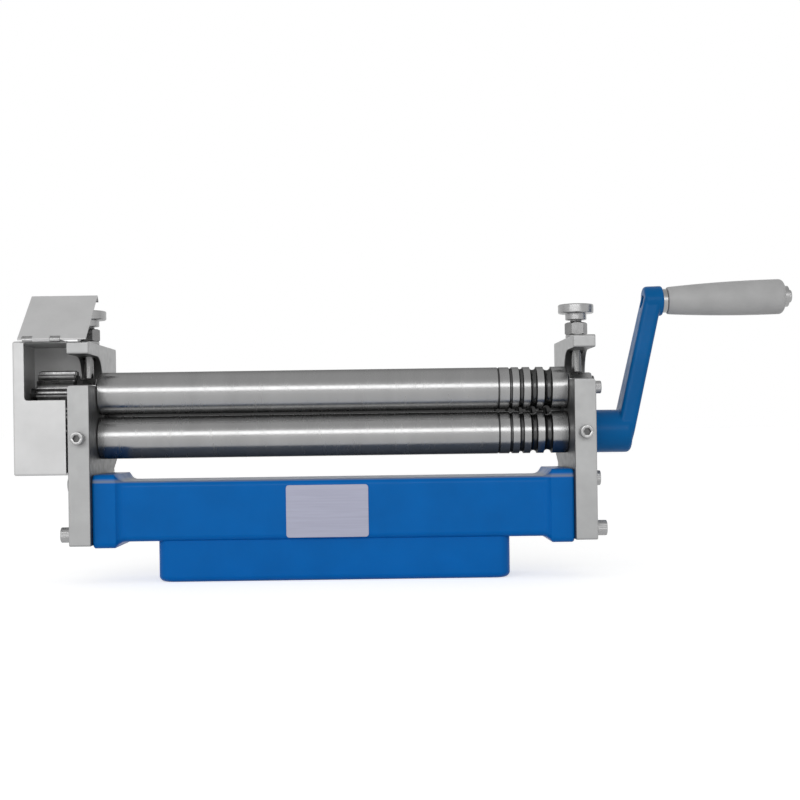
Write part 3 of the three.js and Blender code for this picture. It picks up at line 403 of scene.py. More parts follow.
def turned(along, radius, origin, axes, steps=64, loop=False):
    """Rings about an axis. A ring's place along the axis and its radius may both change round the ring."""
    along, radius = (np.asarray(v, float) for v in (along, radius))
    along, radius = (v[:, None] if v.ndim == 1 else v for v in (along, radius))
    along, radius = np.broadcast_arrays(along + np.zeros(steps), radius + np.zeros(steps))
    across = polar(radius, TURN * np.arange(steps) / steps)
    return surface(spread(across, along, origin, axes), loop)


def ringed(rings, origin, axes, steps, loop=False):
    """Rings from pairs of a place along the axis and a radius, each one number or one for every step."""
    along, radius = (np.stack([np.broadcast_to(v, steps) for v in column]) for column in zip(*rings))
    return [turned(along, radius, origin, axes, steps, loop)]


def lathe(corners, radii, origin, axes, steps=64, loop=False):
    """A profile of places along an axis and radii, with rounded corners, turned about the axis."""
    profile = rounded(corners, radii, steps=5, closed=loop)
    return turned(profile[:, 0], profile[:, 1], origin, axes, steps, loop)


def rod(start, end, radius, edges, origin, axes, steps=64):
    """A plain rod: a line at its radius, rounded off to the axis by its edges, turned about the axis."""
    corners = [(start, 0), (start, radius), (end, radius), (end, 0)]
    return [lathe(corners, [0, *edges, 0], origin, axes, steps)]


def washer_ring(bore, radius, start, thickness, edge, origin, axes):
    """A flat ring: a rectangle with rounded corners, turned about the axis."""
    profile = box_outline(start, start + thickness, bore, radius)
    return [lathe(profile, [edge / 2, edge / 2, edge, edge], origin, axes, loop=True)]


def quarter_round(edge, steps):
    """How far an edge has moved in, and how far along, at each step of its quarter circle."""
    turn = np.linspace(0, math.pi / 2, steps + 1)
    return edge * (1 - np.sin(turn)), edge * (1 - np.cos(turn))


def slab(loops, start, end, edge=0.0, origin=ORIGIN, axes=ALONG_X, steps=3):
    """Outlines carried along an axis. Near each end they move in along a quarter round, so that the edges
    are rounded, and flat lids close the ends. The first loop is the outside and the others are holes."""
    loops = [wound(np.asarray(loop, float), clockwise=i > 0) for i, loop in enumerate(loops)]
    inset, depth = quarter_round(edge, steps) if edge else np.zeros((2, 1))
    insets = np.concatenate([inset, inset[::-1]])
    places = np.concatenate([start + depth, end - depth[::-1]])
    walls = []
    for loop in loops:
        rings = np.stack([moved_in(loop, each) for each in insets])
        walls.append(surface(spread(rings, np.repeat(places[:, None], len(loop), axis=1), origin, axes)))
    lids = [lid([moved_in(loop, edge) for loop in loops], place, origin, axes) for place in (start, end)]
    return walls + lids


# Objects from surfaces

def raw(name, surfaces):
    """One mesh object from surfaces: coinciding points are welded and faces turned outwards."""
    points, faces = [], []
    count = 0
    for vertices, polygons in surfaces:
        points.append(vertices)
        faces.extend([[i + count for i in polygon] for polygon in polygons])
        count += len(vertices)
    mesh = bpy.data.meshes.new(name)
    mesh.from_pydata(np.vstack(points).tolist(), [], faces)
    tidy_mesh(mesh)
    made = bpy.data.objects.new(name, mesh)
    bpy.context.scene.collection.objects.link(made)
    return made


def tidy_mesh(mesh):
    """Welds points that coincide, drops faces without area and turns the rest outwards."""
    work = bmesh.new()
    work.from_mesh(mesh)
    bmesh.ops.remove_doubles(work, verts=work.verts, dist=WELD)
    bmesh.ops.dissolve_degenerate(work, edges=work.edges, dist=WELD / 10)
    bmesh.ops.recalc_face_normals(work, faces=work.faces)
    if work.calc_volume(signed=True) < 0:
        bmesh.ops.reverse_faces(work, faces=work.faces)
    work.to_mesh(mesh)
    work.free()


def baked(made):
    """Replaces an object's mesh by what its modifiers make of it."""
    graph = bpy.context.evaluated_depsgraph_get()
    mesh = bpy.data.meshes.new_from_object(made.evaluated_get(graph))
    made.modifiers.clear()
    made.data = mesh
    mesh.name = made.name
    return made


def carved(made, tool, operation="DIFFERENCE"):
    """Cuts a tool out of an object, or joins it on, and drops the tool, which may be given as surfaces."""
    if isinstance(tool, list):
        tool = raw("tool", tool)
    change = made.modifiers.new("carve", "BOOLEAN")
    change.operation = operation
    change.object = tool
    change.solver = "EXACT"
    baked(made)
    bpy.data.objects.remove(tool)
    return made


def drilled(made, radius, start, end, origin=ORIGIN, axes=ALONG_X, steps=40):
    """Cuts a round hole, with a plain bar as its tool."""
    carved(made, [turned([start, start, end, end], [0, radius, radius, 0], origin, axes, steps)])


def body_of(node):
    """The body that carries a node."""
    groups = frame["record"]["behaviour"]["bodies"]
    return next(body for body, members in groups.items() if node in members)


def finished(made, finish, node, stands_in=True, sharp=SHARP):
    """Smooth shading with sharp edges and flat faces, the finish, and a place on the node's body. The object
    stands in for the node, or else it only adds to it."""
    made.data.shade_smooth()
    made.data.set_sharp_from_angle(angle=sharp)
    made.modifiers.new("flat_faces", "WEIGHTED_NORMAL").keep_sharp = True
    made.data.materials.clear()
    made.data.materials.append(FINISHES[finish])
    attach(made, body_of(node))
    if stands_in:
        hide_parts(node)


def piece(node, surfaces, finish, sharp=SHARP):
    """A fine piece that stands in for the frame's node of the same place."""
    finished(raw(f"{node}_fine", surfaces), finish, node, sharp=sharp)


# Materials

class Nodes:
    """A node tree, and short ways to add to it."""

    def __init__(self, tree):
        self.tree = tree

    def add(self, kind, **settings):
        """A new node with its settings."""
        node = self.tree.nodes.new(kind)
        for key, value in settings.items():
            setattr(node, key, value)
        return node

    def link(self, source, target):
        """Joins an output to an input."""
        self.tree.links.new(source, target)

    def split(self, source):
        """The three parts of a place or a direction."""
        node = self.add("ShaderNodeSeparateXYZ")
        self.link(source, node.inputs[0])
        return node.outputs

    def between(self, source, lowest, highest, start=0.3, end=0.7):
        """A number that goes from the lowest to the highest while its source goes from start to end."""
        node = self.add("ShaderNodeMapRange")
        for socket, value in zip(("From Min", "From Max", "To Min", "To Max"), (start, end, lowest, highest)):
            node.inputs[socket].default_value = value
        self.link(source, node.inputs["Value"])
        return node.outputs["Result"]

    def combine(self, operation, *sources):
        """One number from one or two others."""
        node = self.add("ShaderNodeMath", operation=operation)
        for socket, source in zip(node.inputs, sources):
            self.link(source, socket)
        return node.outputs[0]

    def seen_directly(self):
        """One where a camera, glossy or transmission ray arrives, and nought for other light."""
        camera, glossy, through = (self.add("ShaderNodeLightPath").outputs[f"Is {kind} Ray"]
                                   for kind in ("Camera", "Glossy", "Transmission"))
        return self.combine("MAXIMUM", self.combine("MAXIMUM", camera, glossy), through)


class Finish(Nodes):
    """A material's node tree with its main shader, and short ways to paint it."""

    def __init__(self, name, base, roughness, metallic=0.0, **sockets):
        self.material = bpy.data.materials.new(f"{name}_finish")
        self.material["finish"] = name
        self.material.use_nodes = True
        super().__init__(self.material.node_tree)
        self.shader = self.tree.nodes["Principled BSDF"]
        self.base = tuple(base)
        sockets.update({"Base Color": (*base, 1), "Roughness": roughness, "Metallic": metallic})
        for socket, value in sockets.items():
            self.shader.inputs[socket].default_value = value
        self.place = self.add("ShaderNodeTexCoord").outputs["Object"]

    def stretched(self, scale):
        """The place on the object, each axis times its own scale."""
        mapping = self.add("ShaderNodeMapping")
        mapping.inputs["Scale"].default_value = scale
        self.link(self.place, mapping.inputs["Vector"])
        return mapping.outputs["Vector"]

    def noise(self, size, detail=3.0, stretch=(1, 1, 1)):
        """A noise with patches of the given size, drawn out along an axis whose scale is small."""
        node = self.add("ShaderNodeTexNoise")
        node.inputs["Scale"].default_value = 1 / size
        node.inputs["Detail"].default_value = detail
        self.link(self.stretched(stretch), node.inputs["Vector"])
        return node.outputs["Fac"]

    def paint(self, share, under, over):
        """The base colour goes from what lies under to a colour laid over it, as far as the share says."""
        node = self.add("ShaderNodeMix", data_type="RGBA")
        self.link(share, node.inputs["Factor"])
        if isinstance(under, tuple):
            node.inputs["A"].default_value = under
        else:
            self.link(under, node.inputs["A"])
        node.inputs["B"].default_value = over
        self.link(node.outputs["Result"], self.shader.inputs["Base Color"])

    def painted(self):
        """What feeds the base colour so far."""
        return self.shader.inputs["Base Color"].links[0].from_socket

    def mottle(self, source, darker, lighter):
        """The base colour between a darker and a lighter share of itself."""
        dark, light = ((*[min(1, c * share) for c in self.base], 1) for share in (darker, lighter))
        self.paint(self.between(source, 0, 1), dark, light)

    def cover(self, colour, share):
        """Lays a colour over what feeds the base colour, as far as the share says."""
        self.paint(share, self.painted(), (*colour, 1))

    def shade(self, share):
        """Darkens what feeds the base colour to a share of itself."""
        node = self.add("ShaderNodeVectorMath", operation="SCALE")
        self.link(self.painted(), node.inputs[0])
        self.link(share, node.inputs["Scale"])
        self.link(node.outputs["Vector"], self.shader.inputs["Base Color"])

    def roughen(self, source, lowest, highest):
        """A roughness that goes from the lowest to the highest as its source does."""
        self.link(self.between(source, lowest, highest), self.shader.inputs["Roughness"])

    def emboss(self, *layers):
        """Bumps on top of each other, each a height and how deep it goes."""
        below = None
        for source, depth in layers:
            node = self.add("ShaderNodeBump")
            node.inputs["Distance"].default_value = depth
            self.link(source, node.inputs["Height"])
            if below:
                self.link(below, node.inputs["Normal"])
            below = node.outputs["Normal"]
        self.link(below, self.shader.inputs["Normal"])


def enamel(name, base, sheen_level=None):
    """Sprayed gloss enamel over a casting: soft waves, fine orange peel and a clear top coat. A flat face at
    the sheen level is greyed by painted sheen, so that it and its reflection in the rolls read neutral grey."""
    coat = {"Coat Weight": 0.03, "Coat Roughness": 0.15, "Specular IOR Level": 0.08}
    finish = Finish(name, base, 0.34, **coat)
    finish.mottle(finish.noise(30 * MM, 4), 0.93, 1.06)
    # Painted sheen: a grey laid over the beam's top face stands in for its grazing sheen
    if sheen_level is not None:
        level = finish.split(finish.place)["Z"]
        from_below = finish.between(level, 0, 1, sheen_level - 1.2 * MM, sheen_level - 0.2 * MM)
        from_above = finish.between(level, 1, 0, sheen_level + 0.2 * MM, sheen_level + 2 * MM)
        cloud = finish.between(finish.noise(25 * MM, 4), 0.8, 1)
        painted_mask = finish.combine("MULTIPLY", from_below, from_above)
        finish.cover(colours().top_sheen_grey, finish.combine("MULTIPLY", painted_mask, cloud))
    finish.roughen(finish.noise(6 * MM, 5), 0.28, 0.42)
    finish.emboss((finish.noise(18 * MM, 2), 0.25 * MM), (finish.noise(1.6 * MM, 2), 0.03 * MM))
    return finish.material


def ground_steel(name, base, axis):
    """Steel ground round its axis: fine rings of different widths and a faint haze. Painted shade darkens it
    where it lies between the journals' radius and the roll's, which is in the grooves."""
    finish = Finish(name, base, 0.24, 0.92, **{"Specular Tint": (0.35, 0.35, 0.35, 1)})
    finish.mottle(finish.noise(14 * MM, 3, (1, 0.1, 0.1)), 0.95, 1.05)
    from_axis = finish.add("ShaderNodeVectorMath", operation="SUBTRACT")
    from_axis.inputs[1].default_value = (0, *axis)
    finish.link(finish.stretched((0, 1, 1)), from_axis.inputs[0])
    radius = finish.add("ShaderNodeVectorMath", operation="LENGTH")
    finish.link(from_axis.outputs["Vector"], radius.inputs[0])
    radius = radius.outputs["Value"]
    outer = finish.between(radius, 0, 1, ROLL_RADIUS - 0.3 * MM, ROLL_RADIUS - 0.05 * MM)
    inner = finish.between(radius, 1, 0, 0.6 * ROLL_RADIUS, 0.66 * ROLL_RADIUS)
    # Painted shade: the grooves fall to a quarter of the steel's colour
    finish.shade(finish.between(finish.combine("MAXIMUM", outer, inner), 0.25, 1, 0, 1))
    finish.roughen(finish.noise(3 * MM, 5, (1, 0.2, 0.2)), 0.2, 0.29)
    finish.emboss((finish.noise(0.9 * MM, 4, (1, 0.02, 0.02)), 0.008 * MM))
    return finish.material


def satin_plate(name, base):
    """Milled and plated plate: faint mill lines across the plate and a cloudy satin. Painted shade darkens
    the plates' inner faces beside the rolls and below them, and the walls of the throats."""
    finish = Finish(name, base, 0.42, 0.75)
    finish.mottle(finish.noise(16 * MM, 5), 0.94, 1.05)
    place = finish.split(finish.place)
    from_middle = finish.combine("ABSOLUTE", place["X"])
    skin, blur = 0.6 * MM, 0.3 * MM
    half, roll_top = high("right_upper_bearing")[1], UPPER_AXIS + ROLL_RADIUS
    inner = finish.between(from_middle, 1, 0, PLATE_INNER + blur, PLATE_INNER + skin)
    below = finish.between(place["Z"], 1, 0, roll_top - 5 * MM, roll_top + 2 * MM)
    throat = finish.between(from_middle, 0, 1, PLATE_INNER + blur, PLATE_INNER + skin)
    for axis, starts, limit in (
            (from_middle, 1, PLATE_OUTER - skin), (place["Y"], 0, PLATE_FRONT + skin),
            (place["Y"], 1, half + skin), (place["Z"], 1, throat_ceiling() + blur)):
        within = finish.between(axis, starts, 1 - starts, limit, limit + blur)
        throat = finish.combine("MULTIPLY", throat, within)
    cloud = finish.between(finish.noise(12 * MM, 4), 0.85, 1)
    painted_mask = finish.combine("MAXIMUM", finish.combine("MULTIPLY", inner, below), throat)
    # Painted shade: the inner faces below the rolls' tops and the throats' walls fall to a third of the
    # plate's colour
    finish.shade(finish.between(finish.combine("MULTIPLY", painted_mask, cloud), 1, 0.34, 0, 1))
    finish.roughen(finish.noise(5 * MM, 5), 0.36, 0.5)
    finish.emboss((finish.noise(0.7 * MM, 3, (1, 0.04, 1)), 0.012 * MM), (finish.noise(9 * MM), 0.04 * MM))
    return finish.material


def satin_sheet(name, base):
    """Zinc-coated sheet: faint rolling lines, a cloudy coat and slight waves."""
    finish = Finish(name, base, 0.45, 0.35)
    finish.mottle(finish.noise(20 * MM, 5), 0.95, 1.04)
    finish.roughen(finish.noise(4 * MM, 5), 0.38, 0.52)
    lines = finish.noise(0.6 * MM, 3, (0.06, 1, 1))
    finish.emboss((finish.noise(45 * MM, 2), 0.25 * MM), (lines, 0.008 * MM))
    return finish.material


def bright_zinc(name, base):
    """Bright plating on turned hardware: small stains and a fine grain."""
    finish = Finish(name, base, 0.3, 1.0)
    finish.mottle(finish.noise(5 * MM, 4), 0.88, 1.06)
    finish.roughen(finish.noise(2.5 * MM, 5), 0.22, 0.4)
    finish.emboss((finish.noise(0.5 * MM), 0.01 * MM))
    return finish.material


def oiled_steel(name, base):
    """Cut steel with a film of oil: darker patches and hobbing lines along the teeth."""
    finish = Finish(name, base, 0.32, 1.0)
    finish.mottle(finish.noise(4 * MM, 4), 0.7, 1.1)
    finish.roughen(finish.noise(3 * MM, 4), 0.24, 0.42)
    finish.emboss((finish.noise(0.4 * MM, 3, (0.1, 1, 1)), 0.012 * MM))
    return finish.material


def sintered_bronze(name, base):
    """Sintered bearing bronze: fine open pores."""
    finish = Finish(name, base, 0.4, 1.0)
    finish.mottle(finish.noise(2 * MM, 5), 0.85, 1.08)
    finish.emboss((finish.noise(0.35 * MM, 4), 0.03 * MM))
    return finish.material


def moulded_grip(name, base):
    """Moulded grip: a fine pebbled grain, handling marks and a low sheen."""
    finish = Finish(name, base, 0.5, **{"Specular IOR Level": 0.4})
    finish.mottle(finish.noise(12 * MM, 5), 0.93, 1.05)
    finish.roughen(finish.noise(5 * MM, 5), 0.44, 0.6)
    finish.emboss((finish.noise(1.1 * MM), 0.05 * MM), (finish.noise(9 * MM, 3, (0.4, 1, 1)), 0.08 * MM))
    return finish.material


def bare_label(name, base):
    """Bare anodised plate: straight brushing along its length."""
    finish = Finish(name, base, 0.38, 0.6)
    finish.mottle(finish.noise(1.0 * MM, 4, (0.03, 1, 1)), 0.95, 1.05)
    finish.roughen(finish.noise(0.8 * MM, 4, (0.04, 1, 1)), 0.3, 0.46)
    finish.emboss((finish.noise(0.4 * MM, 3, (0.03, 1, 1)), 0.006 * MM))
    return finish.material


def make_finishes():
    """The materials by name: one or more for each slot of the record, and the bare plate's own."""
    tint = colours()
    made = (
        enamel("casting_paint", tint.casting, LOWER_AXIS - sizes().beam_below_axis),
        enamel("crank_paint", tint.crank),
        ground_steel("upper_roll_steel", tint.rolls, (0, UPPER_AXIS)),
        ground_steel("lower_roll_steel", tint.rolls, (0, LOWER_AXIS)),
        # Painted shade: the rear roll's darker steel stands in for the shadow between the rolls
        ground_steel("rear_roll_steel", tint.rear_roll, REAR_AXIS),
        satin_plate("plate_steel", tint.plates), satin_sheet("guard_steel", tint.guard),
        bright_zinc("zinc_hardware", tint.zinc), bright_zinc("nut_zinc", tint.nuts),
        oiled_steel("blackened_steel", tint.oxide_and_socket_shade), oiled_steel("gear_steel", tint.gears),
        sintered_bronze("bush_bronze", tint.bronze), moulded_grip("grip_plastic", tint.grip),
        bare_label("label_plate", tint.label),
    )
    return {material["finish"]: material for material in made}


FINISHES = {}


# Studio

FLOOR_REACH = 60.0
CLIP_START, CLIP_END = 0.01, 200.0
CEILING_STARTS, CEILING_FULL = 25 * DEGREE, 50 * DEGREE


def make_floor():
    """A wide floor whose colour is topped up to white where the camera, metal or glass sees it."""
    square = box_outline(-FLOOR_REACH, FLOOR_REACH, -FLOOR_REACH, FLOOR_REACH)
    made = raw("floor", [lid([square], 0, axes=ALONG_Z)])
    if made.data.polygons[0].normal.z < 0:
        made.data.flip_normals()
    material = bpy.data.materials.new("floor")
    material.use_nodes = True
    nodes = Nodes(material.node_tree)
    shader = nodes.tree.nodes["Principled BSDF"]
    shader.inputs["Base Color"].default_value = (*colours().floor, 1)
    shader.inputs["Roughness"].default_value = 0.9
    shader.inputs["Specular IOR Level"].default_value = 0.1
    glow = nodes.add("ShaderNodeEmission")
    nodes.link(nodes.between(nodes.seen_directly(), 0, studio().floor_glow, 0, 1), glow.inputs["Strength"])
    both = nodes.add("ShaderNodeAddShader")
    nodes.link(shader.outputs[0], both.inputs[0])
    nodes.link(glow.outputs[0], both.inputs[1])
    nodes.link(both.outputs[0], nodes.tree.nodes["Material Output"].inputs["Surface"])
    made.data.materials.append(material)


def make_world():
    """White where it is seen, the daylight's strength for the light that it gives, and a darker ceiling."""
    world = bpy.data.worlds.new("daylight")
    world.use_nodes = True
    bpy.context.scene.world = world
    nodes = Nodes(world.node_tree)
    background = nodes.tree.nodes["Background"]
    background.inputs["Color"].default_value = (1, 1, 1, 1)
    level = nodes.between(nodes.seen_directly(), studio().daylight, 1, 0, 1)
    height = nodes.split(nodes.add("ShaderNodeTexCoord").outputs["Generated"])["Z"]
    starts, full = math.sin(CEILING_STARTS), math.sin(CEILING_FULL)
    ceiling = nodes.between(height, 1, studio().ceiling, starts, full)
    nodes.link(nodes.combine("MULTIPLY", level, ceiling), background.inputs["Strength"])


def make_lamp():
    """One wide soft lamp above and behind the camera."""
    setting = studio()
    lamp = bpy.data.lights.new("front_lamp", "AREA")
    lamp.shape = "RECTANGLE"
    lamp.size = setting.lamp_width
    lamp.size_y = setting.lamp_height
    lamp.energy = setting.lamp_power
    made = bpy.data.objects.new("front_lamp", lamp)
    target = Vector((0, 0, LOWER_AXIS))
    level = math.cos(setting.lamp_rise)
    away = Vector((-level * math.sin(setting.lamp_turn), -level * math.cos(setting.lamp_turn),
                   math.sin(setting.lamp_rise)))
    made.location = target + away * setting.lamp_distance
    made.rotation_euler = away.to_track_quat("Z", "Y").to_euler()
    bpy.context.scene.collection.objects.link(made)


def make_camera():
    """The camera, level and square to the rolls but for a slight roll."""
    setting = studio()
    data = bpy.data.cameras.new("camera")
    data.lens = setting.lens
    data.shift_x = setting.shift_across
    data.shift_y = setting.shift_up
    data.clip_start = CLIP_START
    data.clip_end = CLIP_END
    made = bpy.data.objects.new("camera", data)
    made.location = setting.camera_place
    made.rotation_euler = Euler((math.pi / 2, setting.camera_roll, 0))
    bpy.context.scene.collection.objects.link(made)
    bpy.context.scene.camera = made


# Rolls

WIRE_GROOVES = np.array([5.4, 4.5, 3.0, 2.0]) * MM


def groove(centre, width, depth, steps=14):
    """A sunk arc: its radius follows from its width and depth, and its ends lie on the roll."""
    half = width / 2
    radius = (half ** 2 + depth ** 2) / (2 * depth)
    angle = math.asin(half / radius) * np.linspace(-1, 1, steps + 1)
    height = ROLL_RADIUS - depth + radius * (1 - np.cos(angle))
    return np.stack([centre + radius * np.sin(angle), height], axis=1)


def roll_body(left_end, right_end):
    """The roll's profile between its ends: rounded edges, a scribed line and four wire grooves."""
    size = sizes()
    end, edge = PLATE_INNER - size.seat_gap, size.roll_edge
    widths = WIRE_GROOVES
    middles = PLATE_INNER - size.groove_setback - np.concatenate(
        [[0], np.cumsum((widths[:-1] + widths[1:]) / 2 + size.groove_land)])
    runs = [groove(m, w, w * size.groove_depth_share) for m, w in zip(middles, widths)][::-1]
    scribed = middles[-1] - widths[-1] / 2 - size.scribe_setback
    runs.insert(0, groove(scribed, size.scribe_width, size.scribe_depth, 6))
    corners = [(-end, 0), (-end, ROLL_RADIUS), (end, ROLL_RADIUS), (end, 0)]
    shell = rounded(corners, [0, edge, edge, 0], steps=5, closed=False)
    half = len(shell) // 2
    return np.vstack([left_end, shell[1:half], *runs, shell[half:-1], right_end])


def roll_piece(node, axis, left_end, right_end):
    """A roll: its profile between its two ends, turned about its axis."""
    profile = roll_body(left_end, right_end)
    piece(node, [turned(profile[:, 0], profile[:, 1], (0, *axis), ALONG_X, 128)], f"{node}_steel")


def shaft_end(node, radius, side=1):
    """A journal from its end to the roll, with a small chamfer, listed from left to right."""
    size = sizes()
    end, edge = high(node)[0], size.fine_edge * 2
    points = [(end, 0), (end, radius - edge), (end - edge, radius), (PLATE_INNER - size.seat_gap, radius)]
    points = [(side * along, r) for along, r in points]
    return np.array(points if side < 0 else points[::-1])


def gear_end():
    """The stepped end that carries a gear, listed from left to right."""
    size = sizes()
    tip = -low("upper_roll")[0]
    shoulder = PLATE_OUTER + size.gear_shoulder
    return np.array([
        (-tip, 0), (-tip, size.gear_seat - size.fine_edge), (size.fine_edge - tip, size.gear_seat),
        (-shoulder, size.gear_seat), (-shoulder, size.journal), (size.seat_gap - PLATE_INNER, size.journal)])


class SLIPROLL_OT_rolls(bpy.types.Operator):
    """The two front rolls and the rear roll with their grooves and journals"""

    bl_idname = "slip_roll.rolls"
    bl_label = "Rolls"

    def execute(self, context):
        size = sizes()
        for node, axis, journal in (("upper_roll", UPPER_AXIS, size.journal),
                                    ("lower_roll", LOWER_AXIS, size.crank_journal)):
            roll_piece(node, (0, axis), gear_end(), shaft_end(node, journal))
        roll_piece("rear_roll", REAR_AXIS, *[shaft_end("rear_roll", size.journal, side) for _, side in SIDES])
        return {"FINISHED"}


# Gears. Where a flank runs into the root, the tooth widens by the flare, in radians, at shares of the way
# up to the base circle.

PRESSURE = 20 * DEGREE
BACKLASH = 0.4 * MM
DEDENDUM_SHARE = 1.25
ROOT_SHARES = np.array([0, 0.25, 0.6])
ROOT_FLARE = np.array([0.035, 0.012, 0.003])


def gear_loop(first_tooth):
    """Involute teeth: each flank turns from the pitch circle by the involute of its pressure angle, and a
    round land and a round root join the flanks."""
    teeth = sizes().gear_teeth
    tip = (high("upper_gear")[2] - low("upper_gear")[2]) / 2
    module = 2 * tip / (teeth + 2)
    pitch_radius = module * teeth / 2
    base = pitch_radius * math.cos(PRESSURE)
    root = pitch_radius - DEDENDUM_SHARE * module
    half_at_pitch = (math.pi * module - BACKLASH) / 4 / pitch_radius + (math.tan(PRESSURE) - PRESSURE)
    flank = np.linspace(base, tip, 9)
    leaning = np.arccos(np.minimum(1, base / flank))
    half = half_at_pitch - (np.tan(leaning) - leaning)
    half = np.concatenate([half[0] + ROOT_FLARE, half])
    radius = np.concatenate([root + ROOT_SHARES * (base - root), flank])
    centre = first_tooth + TURN * np.arange(teeth) / teeth
    angle = centre[:, None] + np.concatenate([-half, half[::-1]])
    return polar(np.concatenate([radius, radius[::-1]]), angle).reshape(-1, 2)


def keyed_bore():
    """A round bore that opens into a keyway at its top."""
    size = sizes()
    half = size.key_width / 2 + size.slip
    bore = size.gear_seat + size.slip
    opening = math.asin(half / bore)
    angle = np.linspace(math.pi / 2 + opening, 5 * math.pi / 2 - opening, 48)
    roof = size.gear_seat + size.key_height / 2 + size.slip
    return np.vstack([polar(bore, angle), [[half, roof], [-half, roof]]])


class SLIPROLL_OT_gears(bpy.types.Operator):
    """The two gears with involute teeth, rounded at their ends"""

    bl_idname = "slip_roll.gears"
    bl_label = "Gears"

    def execute(self, context):
        size = sizes()
        for node, axis, first in (
            ("upper_gear", UPPER_AXIS, -math.pi / 2 + math.pi / size.gear_teeth),
            ("lower_gear", LOWER_AXIS, math.pi / 2),
        ):
            loops = [gear_loop(first), keyed_bore()]
            made = slab(loops, *ends(node), size.gear_chamfer, (0, 0, axis))
            piece(node, made, "gear_steel", sharp=32 * DEGREE)
        return {"FINISHED"}


# Side plates. A round end's radius stays just under half its width, so that its two arcs don't meet.

ROUND_END = 0.999
UPPER_BLOCK_HALF = 9 * MM
PLATE_FOOT = 32.5 * MM
BLOCK_CORNER = 0.8 * MM
GUARD_SCREW_HOLE = 9 * MM


def lip_height():
    """The height of the throat's lip."""
    return UPPER_AXIS + sizes().lip_above_axis


def throat_ceiling():
    """The height of the throat's roof."""
    return lip_height() + sizes().gap_height


def slide_axes():
    """The rear slide's way up and the way across it."""
    angle = sizes().slide_angle
    up = np.array([-math.cos(angle), math.sin(angle)])
    return up, np.array([up[1], -up[0]])


def slide_foot():
    """The lowest place of the rear roll's axis, in Y and Z."""
    return REAR_AXIS - sizes().rear_raised * slide_axes()[0]


def slide_frame():
    """Axes for a piece that points up the rear slide."""
    up, across = slide_axes()
    return np.array([[1, 0, 0], [0, *-across], [0, *up]])


def on_slide(points):
    """Points up and across the rear slide, about the lowest place of the rear roll's axis."""
    up, across = slide_axes()
    points = np.asarray(points, float)
    return slide_foot() + points[:, :1] * up + points[:, 1:] * across


def bevel_corner(y):
    """Where the bevelled face, square to the slide, crosses an upright line."""
    up, _ = slide_axes()
    foot = slide_foot()
    return (y, foot[1] + (-sizes().bevel_reach - (y - foot[0]) * up[0]) / up[1])


def plate_outline():
    """The plate seen from the side: bevelled below at the rear, with the throat open to the front."""
    size = sizes()
    half = UPPER_BLOCK_HALF + size.slip
    lip, ceiling = lip_height(), throat_ceiling()
    bottom = UPPER_AXIS - size.pocket_drop - half
    soft, round_end = size.plate_corner, half * ROUND_END
    corners = np.array([
        (PLATE_FRONT, PLATE_BOTTOM, soft), (PLATE_FOOT, PLATE_BOTTOM, soft),
        (*bevel_corner(PLATE_FOOT), soft), (*bevel_corner(PLATE_REAR), soft),
        (PLATE_REAR, PLATE_TOP, soft), (PLATE_FRONT, PLATE_TOP, soft),
        (PLATE_FRONT, ceiling, soft), (half, ceiling, size.gap_radius), (half, bottom, round_end),
        (-half, bottom, round_end), (-half, lip, soft / 2), (PLATE_FRONT, lip, soft),
    ])
    return rounded(corners[:, :2], corners[:, 2], steps=12)


def slot_outline():
    """The rear bearing's slot: as long as the block and its travel."""
    size = sizes()
    half = size.rear_block_width / 2 + size.slip
    reach = size.rear_block_length / 2 + size.slip
    corners = on_slide(box_outline(-reach, size.rear_travel + reach, -half, half))
    return rounded(corners, BLOCK_CORNER, steps=5)


class SLIPROLL_OT_side_plates(bpy.types.Operator):
    """The two side plates with their throats, slots and drilled holes"""

    bl_idname = "slip_roll.side_plates"
    bl_label = "Side Plates"

    def execute(self, context):
        size = sizes()
        for word, side in SIDES:
            node = f"{word}_side_plate"
            loops = [plate_outline(), slot_outline(), circle((0, LOWER_AXIS), size.bush_radius + size.slip)]
            for where in PLATE_SCREWS:
                loops.append(circle(middle(f"{word}_{where}_plate_washer")[1:], hole("m6"), steps=32))
            made = raw(f"{node}_fine", slab(loops, *ends(node), size.plate_edge))
            self.drill(made, side)
            self.round_lip(made, side)
            if side < 0:
                for where in ("lower", "upper"):
                    place = (-PLATE_OUTER, *middle(f"guard_{where}_screw")[1:])
                    drilled(made, hole("m4"), -OVERRUN / 2, GUARD_SCREW_HOLE, place)
            finished(made, "plate_steel", node)
        return {"FINISHED"}

    def drill(self, made, side):
        """Holes for the adjusting screw, the bush screw and the rear adjusting screw."""
        size = sizes()
        x = side * PLATE_MIDDLE
        radius = size.screw_radius + size.slip
        drilled(made, radius, throat_ceiling() - 4 * OVERRUN, PLATE_TOP + OVERRUN, (x, 0, 0), ALONG_Z)
        drilled(made, hole("m5"), size.bush_radius, OVERRUN - PLATE_FRONT, (x, 0, LOWER_AXIS),
                TOWARDS["front"])
        drilled(made, radius, -size.bevel_reach - OVERRUN, -size.rear_block_length / 2, (x, *slide_foot()),
                slide_frame())

    def round_lip(self, made, side):
        """Takes a quarter round off the lip's outer upper edge: a square bar less a round."""
        lip, radius = lip_height(), sizes().lip_rounding
        near, far, above = PLATE_OUTER - radius, PLATE_OUTER + OVERRUN, lip + OVERRUN
        arc = np.array([near, lip - radius]) + polar(radius, np.linspace(0, math.pi / 2, 12))
        outline = np.vstack([arc, [[near, above], [far, above], [far, lip - radius]]])
        outline[:, 0] *= side
        carved(made, slab([outline[:, ::-1]], PLATE_FRONT - OVERRUN, -UPPER_BLOCK_HALF, axes=ALONG_Y))


# Bearings

UPPER_BLOCK_EDGE = 1.6 * MM
REAR_BLOCK_EDGE = 0.5 * MM
BUSH_EDGE = 0.6 * MM


